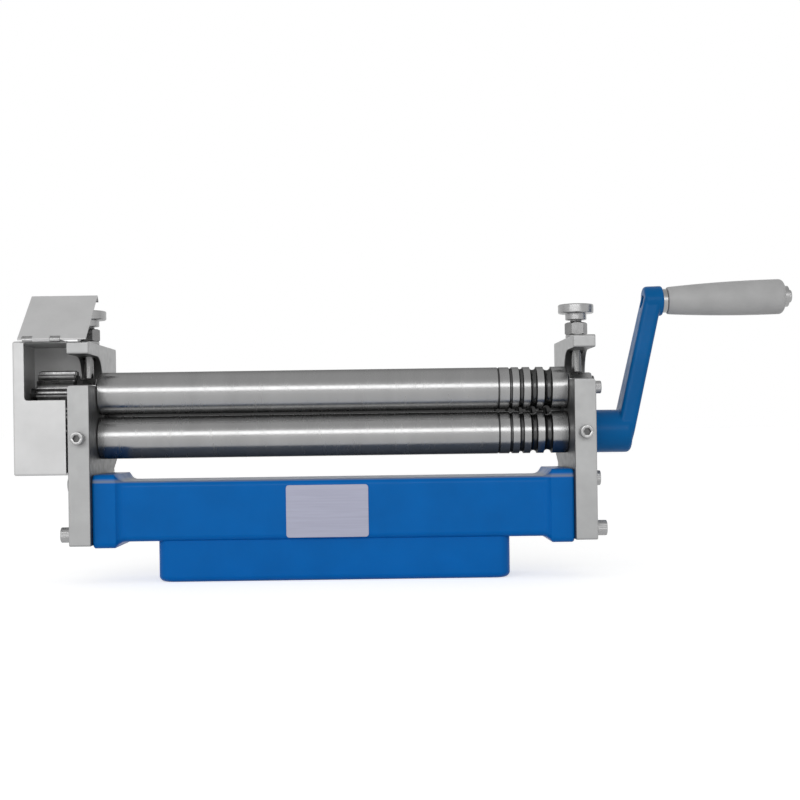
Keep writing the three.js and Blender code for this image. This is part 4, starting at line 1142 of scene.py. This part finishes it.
class SLIPROLL_OT_bearings(bpy.types.Operator):
    """The upper and rear bearing blocks and the lower bushes"""

    bl_idname = "slip_roll.bearings"
    bl_label = "Bearings"

    def execute(self, context):
        size = sizes()
        half, reach = size.rear_block_width / 2, size.rear_block_length / 2
        for word, side in SIDES:
            self.upper_block(f"{word}_upper_bearing", size.block_standout if side > 0 else 0)
            node = f"{word}_rear_bearing"
            corners = box_outline(size.rear_raised - reach, size.rear_raised + reach, -half, half)
            loops = [rounded(on_slide(corners), BLOCK_CORNER), circle(REAR_AXIS, size.journal + size.slip)]
            piece(node, slab(loops, *ends(node), REAR_BLOCK_EDGE), "zinc_hardware")
            node = f"{word}_lower_bush"
            bore = (size.crank_journal if side > 0 else size.journal) + size.slip
            start, end = ends(node)
            place = (0, 0, LOWER_AXIS)
            made = washer_ring(bore, size.bush_radius, start, end - start, BUSH_EDGE, place, ALONG_X)
            piece(node, made, "bush_bronze")
        return {"FINISHED"}

    def upper_block(self, node, standout):
        """A round-bottomed block with a chamfered top; the right one stands out towards the end washer."""
        size = sizes()
        half, top = high(node)[1:]
        chamfer, bottom = size.block_chamfer, UPPER_AXIS - half
        corners = [(half, top - chamfer), (half - chamfer, top), (chamfer - half, top),
                   (-half, top - chamfer), (-half, bottom), (half, bottom)]
        outline = rounded(corners, [BLOCK_CORNER] * 4 + [half * ROUND_END] * 2, steps=14)
        bore = circle((0, UPPER_AXIS), size.journal + size.slip)
        start, end = ends(node)
        piece(node, slab([outline, bore], start, end + standout, UPPER_BLOCK_EDGE), "zinc_hardware")


# Cap screws and washers

RIB_DEPTH = 0.14 * MM
HEAD_CHAMFER = 0.5 * MM
CHAMFER_LIMIT_SHARE = 0.2
CHAMFER_CREST_SHARE = 0.3
SOCKET_BEVEL = 0.2 * MM
SOCKET_SHARE = 0.55
PLUG_PLAY, PLUG_SUNK, PLUG_PROUD = 0.05 * MM, 0.1 * MM, 0.3 * MM
SCREW_SHARP = 50 * DEGREE
FEW_RIBS, MANY_RIBS, STEPS_PER_RIB = 24, 32, 6
END_WASHER_DRAWN_IN = 1.3 * MM


def hexagon_radius(angle, flats):
    """A hexagon's radius at each angle: half its flats over the cosine of the turn from the nearest flat."""
    sixth = TURN / 6
    return flats / 2 / np.cos((angle % sixth) - sixth / 2)


def cap_screw(kind, shank, origin, axes, ribs):
    """A socket head with a ribbed side. Rings run from the socket's floor out over the head, down its ribbed
    side and in to the shank: the socket's rings follow a hexagon and the side's a wave of many ribs."""
    radius, head_radius, top, socket = SCREWS[kind]
    steps = ribs * STEPS_PER_RIB
    angle = TURN * np.arange(steps) / steps
    hexagon = hexagon_radius(angle, socket)
    wave = head_radius - RIB_DEPTH * (0.5 + 0.5 * np.cos(ribs * angle))
    chamfer = min(HEAD_CHAMFER, top * CHAMFER_LIMIT_SHARE)
    crest = chamfer * CHAMFER_CREST_SHARE
    floor = top - top * SOCKET_SHARE
    return ringed([
        (floor, 0), (floor, hexagon), (top - SOCKET_BEVEL, hexagon), (top, hexagon + SOCKET_BEVEL),
        (top, head_radius - chamfer), (top - crest, head_radius - crest),
        (top - chamfer, wave), (chamfer / 2, wave), (0, head_radius - chamfer / 2), (0, radius),
        (-shank + chamfer, radius), (-shank, radius - chamfer), (-shank, 0),
    ], origin, axes, steps)


def screw_piece(node, kind, way, finish="zinc_hardware"):
    """A cap screw in the place of its node, its head's outer end at the box's far side, and a dark plug of
    painted shade at the floor of its socket."""
    _, head_radius, head_height, socket = SCREWS[kind]
    axes = TOWARDS[way]
    axis = int(np.argmax(np.abs(axes[2])))
    sign = axes[2][axis]
    inner, outer = (box(node)[axis] for box in ((low, high) if sign > 0 else (high, low)))
    origin = middle(node)
    origin[axis] = outer - sign * head_height
    ribs = FEW_RIBS if head_radius < SCREWS["m5"][1] else MANY_RIBS
    made = cap_screw(kind, abs(outer - inner) - head_height, origin, axes, ribs)
    piece(node, made, finish, sharp=SCREW_SHARP)
    # Painted shade: a dark hexagonal plug at the socket's floor stands in for the shade inside the socket
    hexagon = circle((0, 0), socket / math.sqrt(3) - PLUG_PLAY, steps=6)
    floor = head_height * (1 - SOCKET_SHARE)
    shade_plug = slab([hexagon], floor - PLUG_SUNK, floor + PLUG_PROUD, 0, origin, axes)
    finished(raw(f"{node}_socket", shade_plug), "blackened_steel", node, stands_in=False)


def washer_piece(node, kind, finish="zinc_hardware", drawn_in=0.0):
    """A washer in the place of its node, its rim drawn in if asked."""
    start, end = ends(node)
    radius = (high(node)[1] - low(node)[1]) / 2 - drawn_in
    origin = middle(node) * (0, 1, 1)
    made = washer_ring(hole(kind), radius, start, end - start, sizes().fine_edge, origin, ALONG_X)
    piece(node, made, finish)


class SLIPROLL_OT_screws(bpy.types.Operator):
    """Every cap screw with its ribbed head and socket, and the washers under them"""

    bl_idname = "slip_roll.screws"
    bl_label = "Screws and Washers"

    def execute(self, context):
        for word, _ in SIDES:
            for where in PLATE_SCREWS:
                screw_piece(f"{word}_{where}_plate_screw", "m6", word)
                washer_piece(f"{word}_{where}_plate_washer", "m6")
            screw_piece(f"{word}_bush_screw", "m5", "front")
        for word in ("upper", "lower"):
            screw_piece(f"{word}_gear_screw", "m5", "left", "blackened_steel")
            washer_piece(f"{word}_gear_washer", "m5", "blackened_steel")
            screw_piece(f"guard_{word}_screw", "m4", "left")
        screw_piece("upper_roll_end_screw", "m5", "right")
        washer_piece("upper_roll_end_washer", "m5", "blackened_steel", END_WASHER_DRAWN_IN)
        return {"FINISHED"}


# Adjusting screws

WIDE_WASHER = 7 * MM
SPACER = 2 * MM
SPACER_EDGE = 0.4 * MM
THREAD_SHOWN = 1.7 * MM
THREAD_BELOW = 0.5 * MM
THREAD_RUNOUT = 0.1 * MM
THREAD_ROWS = 12
THREAD_GAIN, THREAD_SINK = 1.25, 0.1
KNOB_CHAMFER = 0.9 * MM
NECK_EDGE = 0.5 * MM
NECK_FILLET = 0.4 * MM
NECK_SHARE = 0.9
SPINDLE_TIP = 0.6 * MM
SPINDLE_OVERLAP = 1 * MM
NUT_CONE = 30 * DEGREE
NUT_EDGE = 0.5 * MM
NUT_CIRCLE_SHARE = 0.96


def threaded(start, end, radius, steps=48):
    """A thread's rings: the radius falls by the thread's depth in a wave with flat crests and roots, whose
    phase is the place along the screw over the pitch less the turn. It fades out near both ends."""
    size = sizes()
    rows = max(THREAD_ROWS, int((end - start) / size.thread_pitch * THREAD_ROWS))
    along = np.linspace(start, end, rows)
    phase = along[:, None] / size.thread_pitch - np.arange(steps) / steps
    wave = np.clip(np.abs(2 * (phase % 1) - 1) * THREAD_GAIN - THREAD_SINK, 0, 1)
    fade = np.clip(np.minimum(along - start, end - along) / size.thread_pitch, 0, 1)[:, None]
    return along, radius - size.thread_depth * wave * fade


def adjusting_screw(tip_depth, shown, origin, axes, steps=48):
    """A threaded shank, a round neck and a wide chamfered rim."""
    size = sizes()
    neck = SPACER + size.nut_height + shown
    rim = neck + size.knob_neck_height
    top = rim + size.knob_height
    along, radius = threaded(-tip_depth, neck - THREAD_RUNOUT, size.screw_radius, steps)
    profile = rounded(
        [(neck, size.screw_radius * NECK_SHARE), (neck, size.knob_neck), (rim, size.knob_neck),
         (rim, size.knob_radius), (top, size.knob_radius), (top, 0)],
        [0, NECK_EDGE, NECK_FILLET, KNOB_CHAMFER, KNOB_CHAMFER, 0], steps=5, closed=False)
    places = np.concatenate([[-tip_depth], along, profile[:, 0]])
    radii = np.vstack([np.zeros(steps), radius, np.repeat(profile[:, 1:], steps, axis=1)])
    return [turned(places, radii, origin, axes, steps)]


def hex_nut(start, bore, origin, axes, steps=96):
    """A hexagon whose corners are taken off by a cone at both ends: the corner's height falls as its radius
    passes the cone's circle."""
    size = sizes()
    end = start + size.nut_height
    radius = hexagon_radius(TURN * np.arange(steps) / steps, size.nut_flats)
    inner = size.nut_flats / 2 * NUT_CIRCLE_SHARE
    fall = (radius - inner) * math.tan(NUT_CONE)
    return ringed([
        (start + NUT_EDGE, bore), (start, bore + NUT_EDGE), (start, inner), (start + fall, radius),
        (end - fall, radius), (end, inner), (end, bore + NUT_EDGE), (end - NUT_EDGE, bore),
    ], origin, axes, steps, loop=True)


def adjuster(words, tip_depth, shown, origin, axes):
    """A knobbed screw with its lock nut and the washer under it, from the face that the washer lies on."""
    bore = sizes().screw_radius + sizes().slip
    washer = washer_ring(bore, WIDE_WASHER, 0, SPACER, SPACER_EDGE, origin, axes)
    piece(f"{words}_adjusting_screw", adjusting_screw(tip_depth, shown, origin, axes), "zinc_hardware")
    piece(f"{words}_lock_nut", hex_nut(SPACER, bore, origin, axes), "nut_zinc")
    piece(f"{words}_screw_washer", washer, "zinc_hardware")


class SLIPROLL_OT_adjusters(bpy.types.Operator):
    """The threaded adjusting screws with their knobs, lock nuts and spacer washers"""

    bl_idname = "slip_roll.adjusters"
    bl_label = "Adjusting Screws"

    def execute(self, context):
        size = sizes()
        up, _ = slide_axes()
        face = slide_foot() - up * (size.bevel_reach + size.seat_gap)
        down_slide = slide_frame() * np.array([[1], [-1], [-1]])
        rear_depth = size.bevel_reach + size.rear_raised - size.rear_block_length / 2
        rear_shown = THREAD_SHOWN + size.rear_travel - size.rear_raised
        thread_end = PLATE_TOP - throat_ceiling() + THREAD_BELOW
        for word, side in SIDES:
            x = side * PLATE_MIDDLE
            adjuster(word, thread_end, THREAD_SHOWN, (x, 0, PLATE_TOP), ALONG_Z)
            self.spindle(word, (x, 0, PLATE_TOP), SPINDLE_OVERLAP - thread_end)
            adjuster(f"{word}_rear", rear_depth, rear_shown, (x, *face), down_slide)
        return {"FINISHED"}

    def spindle(self, word, origin, top):
        """The plain end of an upper adjusting screw, below its thread."""
        node, radius = f"{word}_adjusting_screw", sizes().spindle_radius
        tip = low(node)[2] - PLATE_TOP
        made = rod(tip, top, radius, (SPINDLE_TIP, 0), origin, ALONG_Z, steps=48)
        finished(raw(f"{word}_spindle", made), "nut_zinc", node, stands_in=False)


# Base casting

HOLLOW_CORNER = 3 * MM
PLATE_SCREW_GRIP = 13 * MM
LABEL_SUNK = 0.05 * MM


def casting_beam():
    """Rings of rounded rectangles from end to end. Near the end blocks the beam's half depth and height grow
    along a quarter round, and at the ends all sides draw in along another."""
    size = sizes()
    fillet, block = size.beam_fillet, PLATE_INNER - size.end_block
    drawn_in, set_back = quarter_round(size.casting_end, 10)
    curve = block - fillet * np.sin(np.linspace(0, math.pi / 2, 11))
    places = np.concatenate([PLATE_INNER - set_back, [block + WELD], curve])
    inset = np.concatenate([drawn_in, [0], 0 * curve])
    inward = np.maximum(0, block - places)
    along = np.maximum(fillet - inward, 0)
    rise = fillet - np.sqrt(fillet ** 2 - along ** 2)
    step = inward < WELD / 2

    def grown(plain, grown_to):
        """The beam's measure, moved by the fillet's rise, or inside the end block the block's own."""
        risen = plain + np.sign(grown_to - plain) * np.minimum(abs(grown_to - plain), rise)
        return np.where(step, grown_to, risen)

    depth = grown(size.beam_half_depth, size.end_half_depth) - inset
    top = grown(LOWER_AXIS - size.beam_below_axis, LOWER_AXIS - size.end_below_axis) - inset
    bottom = grown(size.beam_bottom, size.end_bottom) + inset
    half = np.stack([spread(rounded(box_outline(-d, d, b, t), size.casting_edge), x)
                     for d, t, b, x in zip(depth, top, bottom, places)])
    grid = np.concatenate([half, half[::-1] * np.array([-1, 1, 1])])
    return [surface(grid)] + [lid([grid[i][:, 1:]], grid[i][0, 0]) for i in (0, -1)]


def pedestal():
    """Rounded rectangles that draw in along a quarter round towards the underside."""
    size = sizes()
    edge, width, depth = size.casting_edge, size.pedestal_half_length, size.pedestal_half_depth
    inset, level = quarter_round(edge, 8)
    inset, level = np.append(inset, 0), np.append(level, size.beam_bottom + 4 * OVERRUN)
    rings = [rounded(box_outline(i - width, width - i, i - depth, depth - i), size.pedestal_corner, steps=10)
             for i in inset]
    grid = np.stack([spread(ring, z, axes=ALONG_Z) for ring, z in zip(rings, level)])
    return [surface(grid)] + [lid([rings[i]], level[i], axes=ALONG_Z) for i in (0, -1)]


class SLIPROLL_OT_casting(bpy.types.Operator):
    """The cast base: beam, end blocks and the hollow pedestal with its bench screw bosses"""

    bl_idname = "slip_roll.casting"
    bl_label = "Base Casting"

    def execute(self, context):
        size = sizes()
        made = carved(raw("base_casting_fine", casting_beam()), pedestal(), "UNION")
        end = size.pedestal_half_length - size.casting_wall
        half = size.pedestal_half_depth - size.casting_wall
        roof = LOWER_AXIS - size.beam_below_axis - size.casting_roof
        foot = -3 * size.casting_edge
        for word, side in SIDES:
            x, y = side * (end - size.bench_inset), half - size.bench_inset
            places = ((x, -y, 0), (x, y, 0))
            near, far = sorted((side * size.centre_web / 2, side * end))
            outline = rounded(box_outline(near, far, -half, half), HOLLOW_CORNER, steps=5)
            hollow = raw("hollow", slab([outline], foot, roof, HOLLOW_CORNER, axes=ALONG_Z))
            for place in places:
                drilled(hollow, size.bench_boss, -5 * size.casting_edge, roof + 4 * OVERRUN, place, ALONG_Z)
            carved(made, hollow)
            for place in places:
                drilled(made, size.bench_hole, -OVERRUN, size.bench_depth, place, ALONG_Z)
            deep = sorted((side * (PLATE_INNER - PLATE_SCREW_GRIP), side * (PLATE_INNER + OVERRUN)))
            for where in PLATE_SCREWS:
                centre = middle(f"{word}_{where}_plate_washer")
                drilled(made, hole("m6"), *deep, (0, *centre[1:]))
        finished(made, "casting_paint", "base_casting", sharp=40 * DEGREE)
        return {"FINISHED"}


class SLIPROLL_OT_label(bpy.types.Operator):
    """The bare plate on the front of the beam"""

    bl_idname = "slip_roll.label"
    bl_label = "Bare Plate"

    def execute(self, context):
        size = sizes()
        width, height = size.label_width / 2, size.label_height / 2
        level, shift, face = size.label_level, size.label_shift, -size.beam_half_depth
        outline = rounded(box_outline(level - height, level + height, shift - width, shift + width),
                          size.label_corner)
        made = slab([outline], face - size.label_thickness, face + LABEL_SUNK, THIN_EDGE, axes=ALONG_Y)
        finished(raw("bare_plate", made), "label_plate", "base_casting", stands_in=False)
        return {"FINISHED"}


# Crank

SKIN_VOXEL = 0.45 * MM
SKIN_SOFTNESS = 0.5
SKIN_PASSES = 8
HUB_INNER_EDGE = 1 * MM
BOSS_OUTER_EDGE = 1.2 * MM
STUD_OVERRUN = 5 * MM
GRUB_DEPTH = 4 * MM
ARM_EDGE_SHARE = 0.9
SWELL_SHARE = 0.87
GRIP_EDGE = 0.9 * MM
GRIP_SHOULDER = 3 * MM
GRIP_STEP = 0.1 * MM


def grip_frame():
    """The middle of the boss's outer end, and axes that tilt up about it along the grip."""
    size = sizes()
    cos, sin = math.cos(size.grip_tilt), math.sin(size.grip_tilt)
    pivot = (low("crank_arm")[0] + size.hub_length + size.boss_reach, 0, LOWER_AXIS + size.crank_radius)
    return np.array(pivot), np.array([[0, 1, 0], [-sin, 0, cos], [cos, 0, sin]])


def arm_loft(rows=60, corner_steps=7):
    """Rings from below the hub up round the boss. A ring is an oblong with rounded corners, the arm's
    thickness by its width. The width shrinks evenly upwards and closes round each end like a disc, and the
    ring's middle moves out with the arm's lean."""
    size = sizes()
    foot_z, head_z = LOWER_AXIS, LOWER_AXIS + size.crank_radius
    foot, head = size.arm_foot, size.arm_head
    share = (1 - np.cos(np.linspace(0, math.pi, rows))) / 2
    z = foot_z - foot + (head_z + head - foot_z + foot) * share
    even = foot + (head - foot) * np.clip((z - foot_z) / size.crank_radius, 0, 1)
    below = np.sqrt(np.maximum(foot ** 2 - np.minimum(z - foot_z, 0) ** 2, 0))
    above = np.sqrt(np.maximum(head ** 2 - np.maximum(z - head_z, 0) ** 2, 0))
    half_width = np.where(z < foot_z, below, np.where(z > head_z, above, even))
    lean = math.tan(size.arm_lean) * (z - foot_z)
    outer = low("crank_arm")[0] + size.hub_length + size.arm_proud + lean
    inner = outer - size.arm_thickness
    outer = np.minimum(outer, grip_frame()[0][0] - size.fine_edge)
    middle_x, half_thick = (outer + inner) / 2, (outer - inner) / 2
    edge = np.minimum(size.arm_edge, ARM_EDGE_SHARE * np.minimum(half_width, half_thick))[:, None]
    corner = np.linspace(0, math.pi / 2, corner_steps)
    angle = np.concatenate([corner + k * math.pi / 2 for k in range(4)])
    side_x, side_y = np.repeat([[1, -1, -1, 1], [1, 1, -1, -1]], corner_steps, axis=1)
    x = middle_x[:, None] + side_x * (half_thick[:, None] - edge) + edge * np.cos(angle)
    y = side_y * (half_width[:, None] - edge) + edge * np.sin(angle)
    return [surface(np.stack([x, y, z[:, None] + 0 * x], axis=-1))]


class SLIPROLL_OT_crank(bpy.types.Operator):
    """The forged crank: hub, rounded leaning arm and boss, run together, with its bores"""

    bl_idname = "slip_roll.crank"
    bl_label = "Crank"

    def execute(self, context):
        size = sizes()
        near = low("crank_arm")[0]
        hub_end, inner = near + size.hub_length, -size.boss_length
        hub_axis = (0, 0, LOWER_AXIS)
        pivot, tilted = grip_frame()
        hub_edges, boss_edges = (HUB_INNER_EDGE, size.hub_edge), (size.boss_edge, BOSS_OUTER_EDGE)
        hub = rod(near, hub_end, size.hub_radius, hub_edges, hub_axis, ALONG_X, steps=96)
        boss = rod(inner, 0, size.boss_radius, boss_edges, pivot, tilted, steps=96)
        made = raw("crank_arm_fine", arm_loft() + hub + boss)
        remesh = made.modifiers.new("one_skin", "REMESH")
        remesh.mode = "VOXEL"
        remesh.voxel_size = SKIN_VOXEL
        soften = made.modifiers.new("soften", "SMOOTH")
        soften.factor = SKIN_SOFTNESS
        soften.iterations = SKIN_PASSES
        baked(made)
        bore = size.crank_journal + size.slip
        drilled(made, bore, near - OVERRUN, hub_end + OVERRUN, hub_axis, steps=64)
        drilled(made, size.stud_radius + size.slip, inner - STUD_OVERRUN, OVERRUN, pivot, tilted, steps=48)
        grub = (middle("crank_grub_screw")[0], 0, LOWER_AXIS)
        drilled(made, hole("m6"), GRUB_DEPTH, size.hub_radius + OVERRUN, grub, -TOWARDS["front"], steps=48)
        finished(made, "crank_paint", "crank_arm", sharp=45 * DEGREE)
        return {"FINISHED"}


class SLIPROLL_OT_grip(bpy.types.Operator):
    """The swelling grip on its shoulder stud, with its washer and screw"""

    bl_idname = "slip_roll.grip"
    bl_label = "Grip"

    def execute(self, context):
        size = sizes()
        near, far, end_edge = size.grip_near, size.grip_far, size.grip_rounding
        start = size.stud_collar + size.seat_gap
        end = start + size.grip_length
        bore = size.stud_radius + size.slip
        # The radius swells along a parabola that is level at its far end
        share = np.linspace(0, 1, 40)
        along = start + size.grip_length * SWELL_SHARE * share
        swell = np.stack([along, far - (far - near) * (1 - share) ** 2], axis=1)
        corners = [(start, bore), (start, near), (start + GRIP_SHOULDER, near)]
        first = rounded(corners, [0, GRIP_EDGE, 0], steps=5, closed=False)[:-1]
        swell = swell[swell[:, 0] > first[-1, 0] + GRIP_STEP]
        last = rounded([(end - 2 * end_edge, far), (end, far), (end, bore)], [0, end_edge, 0], closed=False)
        profile = np.vstack([first, swell, last])
        made = [turned(profile[:, 0], profile[:, 1], *grip_frame(), steps=96, loop=True)]
        piece("crank_grip", made, "grip_plastic")
        self.stud(end + size.seat_gap)
        return {"FINISHED"}

    def stud(self, end):
        """The stud with its collar, and the washer and cap screw at its far end."""
        size = sizes()
        pivot, tilted = grip_frame()
        first, radius = -size.stud_thread, size.stud_radius
        collar, wide, edge = size.stud_collar, size.stud_collar_radius, size.fine_edge
        corners = [(first, 0), (first, radius), (0, radius), (0, wide), (collar, wide), (collar, radius),
                   (end, radius), (end, 0)]
        stud = [lathe(corners, [0, edge, 0, edge, edge, 0, edge, 0], pivot, tilted)]
        washer = washer_ring(hole("grip"), WIDE_WASHER, end, size.grip_washer, edge, pivot, tilted)
        under_head = pivot + (end + size.grip_washer) * tilted[2]
        screw = cap_screw("grip", size.grip_washer + size.grip_screw, under_head, tilted, FEW_RIBS)
        piece("grip_stud", stud, "zinc_hardware")
        piece("grip_washer", washer, "zinc_hardware")
        piece("grip_screw", screw, "zinc_hardware", sharp=SCREW_SHARP)


# Gear guard

GEAR_CLEARANCE = 1.5 * MM
BEND_SHARE = 0.9
DRAWN_IN_SHARE = 0.98
HAIR_EDGE = 0.1 * MM
EAR_HALF = 5.5 * MM
EAR_REACH = 5.75 * MM
EAR_CORNER = 2.5 * MM


class SLIPROLL_OT_guard(bpy.types.Operator):
    """The folded sheet guard over the gears, notched at the front, with its screwed ears"""

    bl_idname = "slip_roll.guard"
    bl_label = "Gear Guard"

    def execute(self, context):
        size = sizes()
        node = "gear_guard"
        left, right = ends(node)
        front, bottom = low(node)[1:]
        top, back = high(node)[2], high("upper_gear")[1] + GEAR_CLEARANCE + size.sheet
        sheet, bend, corner = size.sheet, size.bend, size.notch_corner
        inner_bend = bend - sheet * BEND_SHARE
        outer = rounded(box_outline(front, back, bottom, top), bend, steps=6)
        inner = box_outline(front + sheet, back - sheet, bottom + sheet, top - sheet)
        inner = rounded(inner, inner_bend, steps=4)
        made = raw(f"{node}_fine", self.shell(outer, left, right, bend))
        carved(made, self.shell(inner, left + sheet, right + OVERRUN, inner_bend))
        notch = rounded(box_outline(UPPER_AXIS - size.notch_drop, top - sheet, left + size.notch_wall,
                                    right + OVERRUN), [corner, 0, 0, 0], steps=6)
        carved(made, slab([notch], front - OVERRUN, front + sheet + OVERRUN / 4, axes=ALONG_Y))
        gap = box_outline(bottom - OVERRUN, top + OVERRUN, -PLATE_OUTER - size.front_gap, right + OVERRUN)
        carved(made, slab([gap], front - OVERRUN, front + sheet, axes=ALONG_Y))
        for where in ("lower", "upper"):
            y, z = middle(f"guard_{where}_screw")[1:]
            ear = rounded(box_outline(back - sheet / 2, y + EAR_REACH, z - EAR_HALF, z + EAR_HALF),
                          [0, EAR_CORNER, EAR_CORNER, 0], steps=6)
            loops = [ear, circle((y, z), hole("m4"), steps=32)]
            carved(made, slab(loops, right - sheet, right, HAIR_EDGE), "UNION")
        finished(made, "guard_steel", node, sharp=30 * DEGREE)
        return {"FINISHED"}

    def shell(self, outline, left, right, bend):
        """The outline carried along X, drawn in along a quarter round at its closed left end."""
        inset, place = quarter_round(bend, 5)
        inset, place = np.append(inset, 0), np.append(left + place, right)
        outline = wound(outline)
        rings = np.stack([moved_in(outline, each * DRAWN_IN_SHARE) for each in inset])
        grid = spread(rings, np.repeat(place[:, None], len(outline), axis=1))
        return [surface(grid), lid([rings[0]], left), lid([rings[-1]], right)]


# Hinge and flap

KNUCKLE_SHARE = 0.27
PIN_BORE = 0.95 * MM
PIN_EDGE = 0.2 * MM
LEAF_SETBACK = 0.2 * MM
KNOB_RAISED = 0.8 * MM
FLAP_HEEL = 1.5 * MM
FLAP_BEND = 1.5 * MM
FLAP_EDGE = 0.2 * MM
FLAP_SOFT_SHARE = 0.45


def hinge_facts():
    """The hinge's axis in Y and Z, its two ends in X and the width of one knuckle."""
    left, right = ends("guard_hinge_leaf")
    return middle("guard_hinge_pin")[1:], left, right, (right - left) * KNUCKLE_SHARE


def flap_angle():
    """The rise of the open flap: the lean over the knob's rim and its chamfer, whichever is more."""
    size = sizes()
    axis = hinge_facts()[0]
    rise = high("left_adjusting_screw")[2] + KNOB_RAISED + size.flap_clearance - axis[1]
    reach = -size.knob_radius - axis[0]
    under = size.barrel - size.sheet
    return max(math.atan2(up, along) - math.asin(under / math.hypot(along, up))
               for along, up in ((reach + KNOB_CHAMFER, rise), (reach, rise - KNOB_CHAMFER)))


class SLIPROLL_OT_flap(bpy.types.Operator):
    """The hinged flap, lying open on the left knob, with its hinge"""

    bl_idname = "slip_roll.flap"
    bl_label = "Flap and Hinge"

    def execute(self, context):
        self.leaf()
        self.flap()
        node = "guard_hinge_pin"
        axis, left, right, _ = hinge_facts()
        radius = (high(node)[2] - low(node)[2]) / 2
        pin = rod(left, right, radius, (PIN_EDGE, PIN_EDGE), (0, *axis), ALONG_X, steps=32)
        piece(node, pin, "zinc_hardware")
        return {"FINISHED"}

    def leaf(self):
        """A thin leaf on the guard's top, curled round the pin at both ends of the hinge."""
        size = sizes()
        axis, left, right, knuckle = hinge_facts()
        node = "guard_hinge_leaf"
        base = axis[1] - size.leaf
        plate = box_outline(PLATE_FRONT + LEAF_SETBACK, high(node)[1], base, axis[1])
        stem = box_outline(axis[0], PLATE_FRONT + OVERRUN / 2, base, axis[1])
        made = raw(f"{node}_fine", slab([plate], left, right, THIN_EDGE))
        for start in (left, right - knuckle):
            curl = raw("curl", slab([circle(axis, size.barrel, steps=48)], start, start + knuckle, THIN_EDGE))
            carved(curl, slab([stem], start, start + knuckle), "UNION")
            carved(made, curl, "UNION")
        carved(made, slab([circle(axis, PIN_BORE, steps=32)], left - OVERRUN / 2, right + OVERRUN / 2))
        finished(made, "zinc_hardware", node, sharp=35 * DEGREE)

    def flap(self):
        """The sheet's outline is carried along X: flat, with its far edge bent down through a quarter round.
        It is made lying flat behind the hinge's axis and then turned up to its open place."""
        size = sizes()
        node = "guard_flap"
        axis, left, right, knuckle = hinge_facts()
        sheet, barrel, reach, heel = size.sheet, size.barrel, size.flap_length, -FLAP_HEEL
        lip = size.flap_lip - barrel + sheet
        corners = [(heel, -barrel), (reach, -barrel), (reach, lip), (reach - sheet, lip),
                   (reach - sheet, sheet - barrel), (heel, sheet - barrel)]
        soft, inner_bend = sheet * FLAP_SOFT_SHARE, FLAP_BEND - sheet + FLAP_EDGE
        outline = rounded(corners, [soft, FLAP_BEND, soft, soft, inner_bend, soft], steps=6)
        cos, sin = math.cos(flap_angle()), math.sin(flap_angle())
        axes = np.array([[0, cos, sin], [0, sin, -cos], [-1, 0, 0]])
        origin = (0, *axis)
        flap_left, flap_right = ends(node)
        made = raw(f"{node}_fine", slab([outline], -flap_right, -flap_left, FLAP_EDGE, origin, axes))
        cut = box_outline(heel - OVERRUN, barrel + size.seat_gap, -barrel - OVERRUN, barrel + OVERRUN)
        for start, end in ((left - size.seat_gap, left + knuckle), (right - knuckle, right + size.seat_gap)):
            carved(made, slab([cut], -end, -start, 0, origin, axes))
        tube, bore = circle((0, 0), barrel, steps=48), circle((0, 0), PIN_BORE, steps=32)
        carved(made, slab([tube], knuckle - right, -left - knuckle, HAIR_EDGE, origin, axes), "UNION")
        carved(made, slab([bore], -right - OVERRUN, OVERRUN - left, 0, origin, axes))
        finished(made, "guard_steel", node, sharp=35 * DEGREE)


# Finishes and stage

class SLIPROLL_OT_finishes(bpy.types.Operator):
    """The materials, and the record's finish on every node of the frame that shows as it is"""

    bl_idname = "slip_roll.finishes"
    bl_label = "Finishes"

    def execute(self, context):
        FINISHES.update(make_finishes())
        for node, finish in (
            ("upper_gear_key", "zinc_hardware"), ("lower_gear_key", "zinc_hardware"),
            ("crank_grub_screw", "gear_steel"),
        ):
            made = frame["nodes"][node]
            made.data.materials.clear()
            made.data.materials.append(FINISHES[finish])
        return {"FINISHED"}


class SLIPROLL_OT_stage(bpy.types.Operator):
    """The floor, the daylight, the lamp and the camera"""

    bl_idname = "slip_roll.stage"
    bl_label = "Stage"

    def execute(self, context):
        context.scene.view_settings.view_transform = "Standard"
        make_floor()
        make_world()
        make_lamp()
        make_camera()
        return {"FINISHED"}


class SLIPROLL_PT_panel(bpy.types.Panel):
    """Lists the steps that build the slip roll"""

    bl_label = "Slip Roll"
    bl_space_type = "VIEW_3D"
    bl_region_type = "UI"
    bl_category = "Slip Roll"

    def draw(self, context):
        for operator in OPERATORS:
            self.layout.operator(operator.bl_idname)


OPERATORS = (
    SLIPROLL_OT_finishes, SLIPROLL_OT_stage, SLIPROLL_OT_casting, SLIPROLL_OT_label,
    SLIPROLL_OT_side_plates, SLIPROLL_OT_bearings, SLIPROLL_OT_rolls, SLIPROLL_OT_gears,
    SLIPROLL_OT_adjusters, SLIPROLL_OT_screws, SLIPROLL_OT_crank, SLIPROLL_OT_grip,
    SLIPROLL_OT_guard, SLIPROLL_OT_flap,
)
GROUPS = {
    "slip_roll_sizes": SlipRollSizes,
    "slip_roll_colours": SlipRollColours,
    "slip_roll_studio": SlipRollStudio,
}
CLASSES = (*GROUPS.values(), *OPERATORS, SLIPROLL_PT_panel)


def register():
    """Makes the classes known to Blender and gives the scene its settings."""
    for each in CLASSES:
        bpy.utils.register_class(each)
    for name, group in GROUPS.items():
        setattr(bpy.types.Scene, name, PointerProperty(type=group))


def unregister():
    """Takes back what register made known."""
    for name in GROUPS:
        delattr(bpy.types.Scene, name)
    for each in reversed(CLASSES):
        bpy.utils.unregister_class(each)


def main():
    """Runs every step in order."""
    register()
    for operator in OPERATORS:
        group, name = operator.bl_idname.split(".")
        getattr(getattr(bpy.ops, group), name)()


if __name__ == "__main__":
    main()
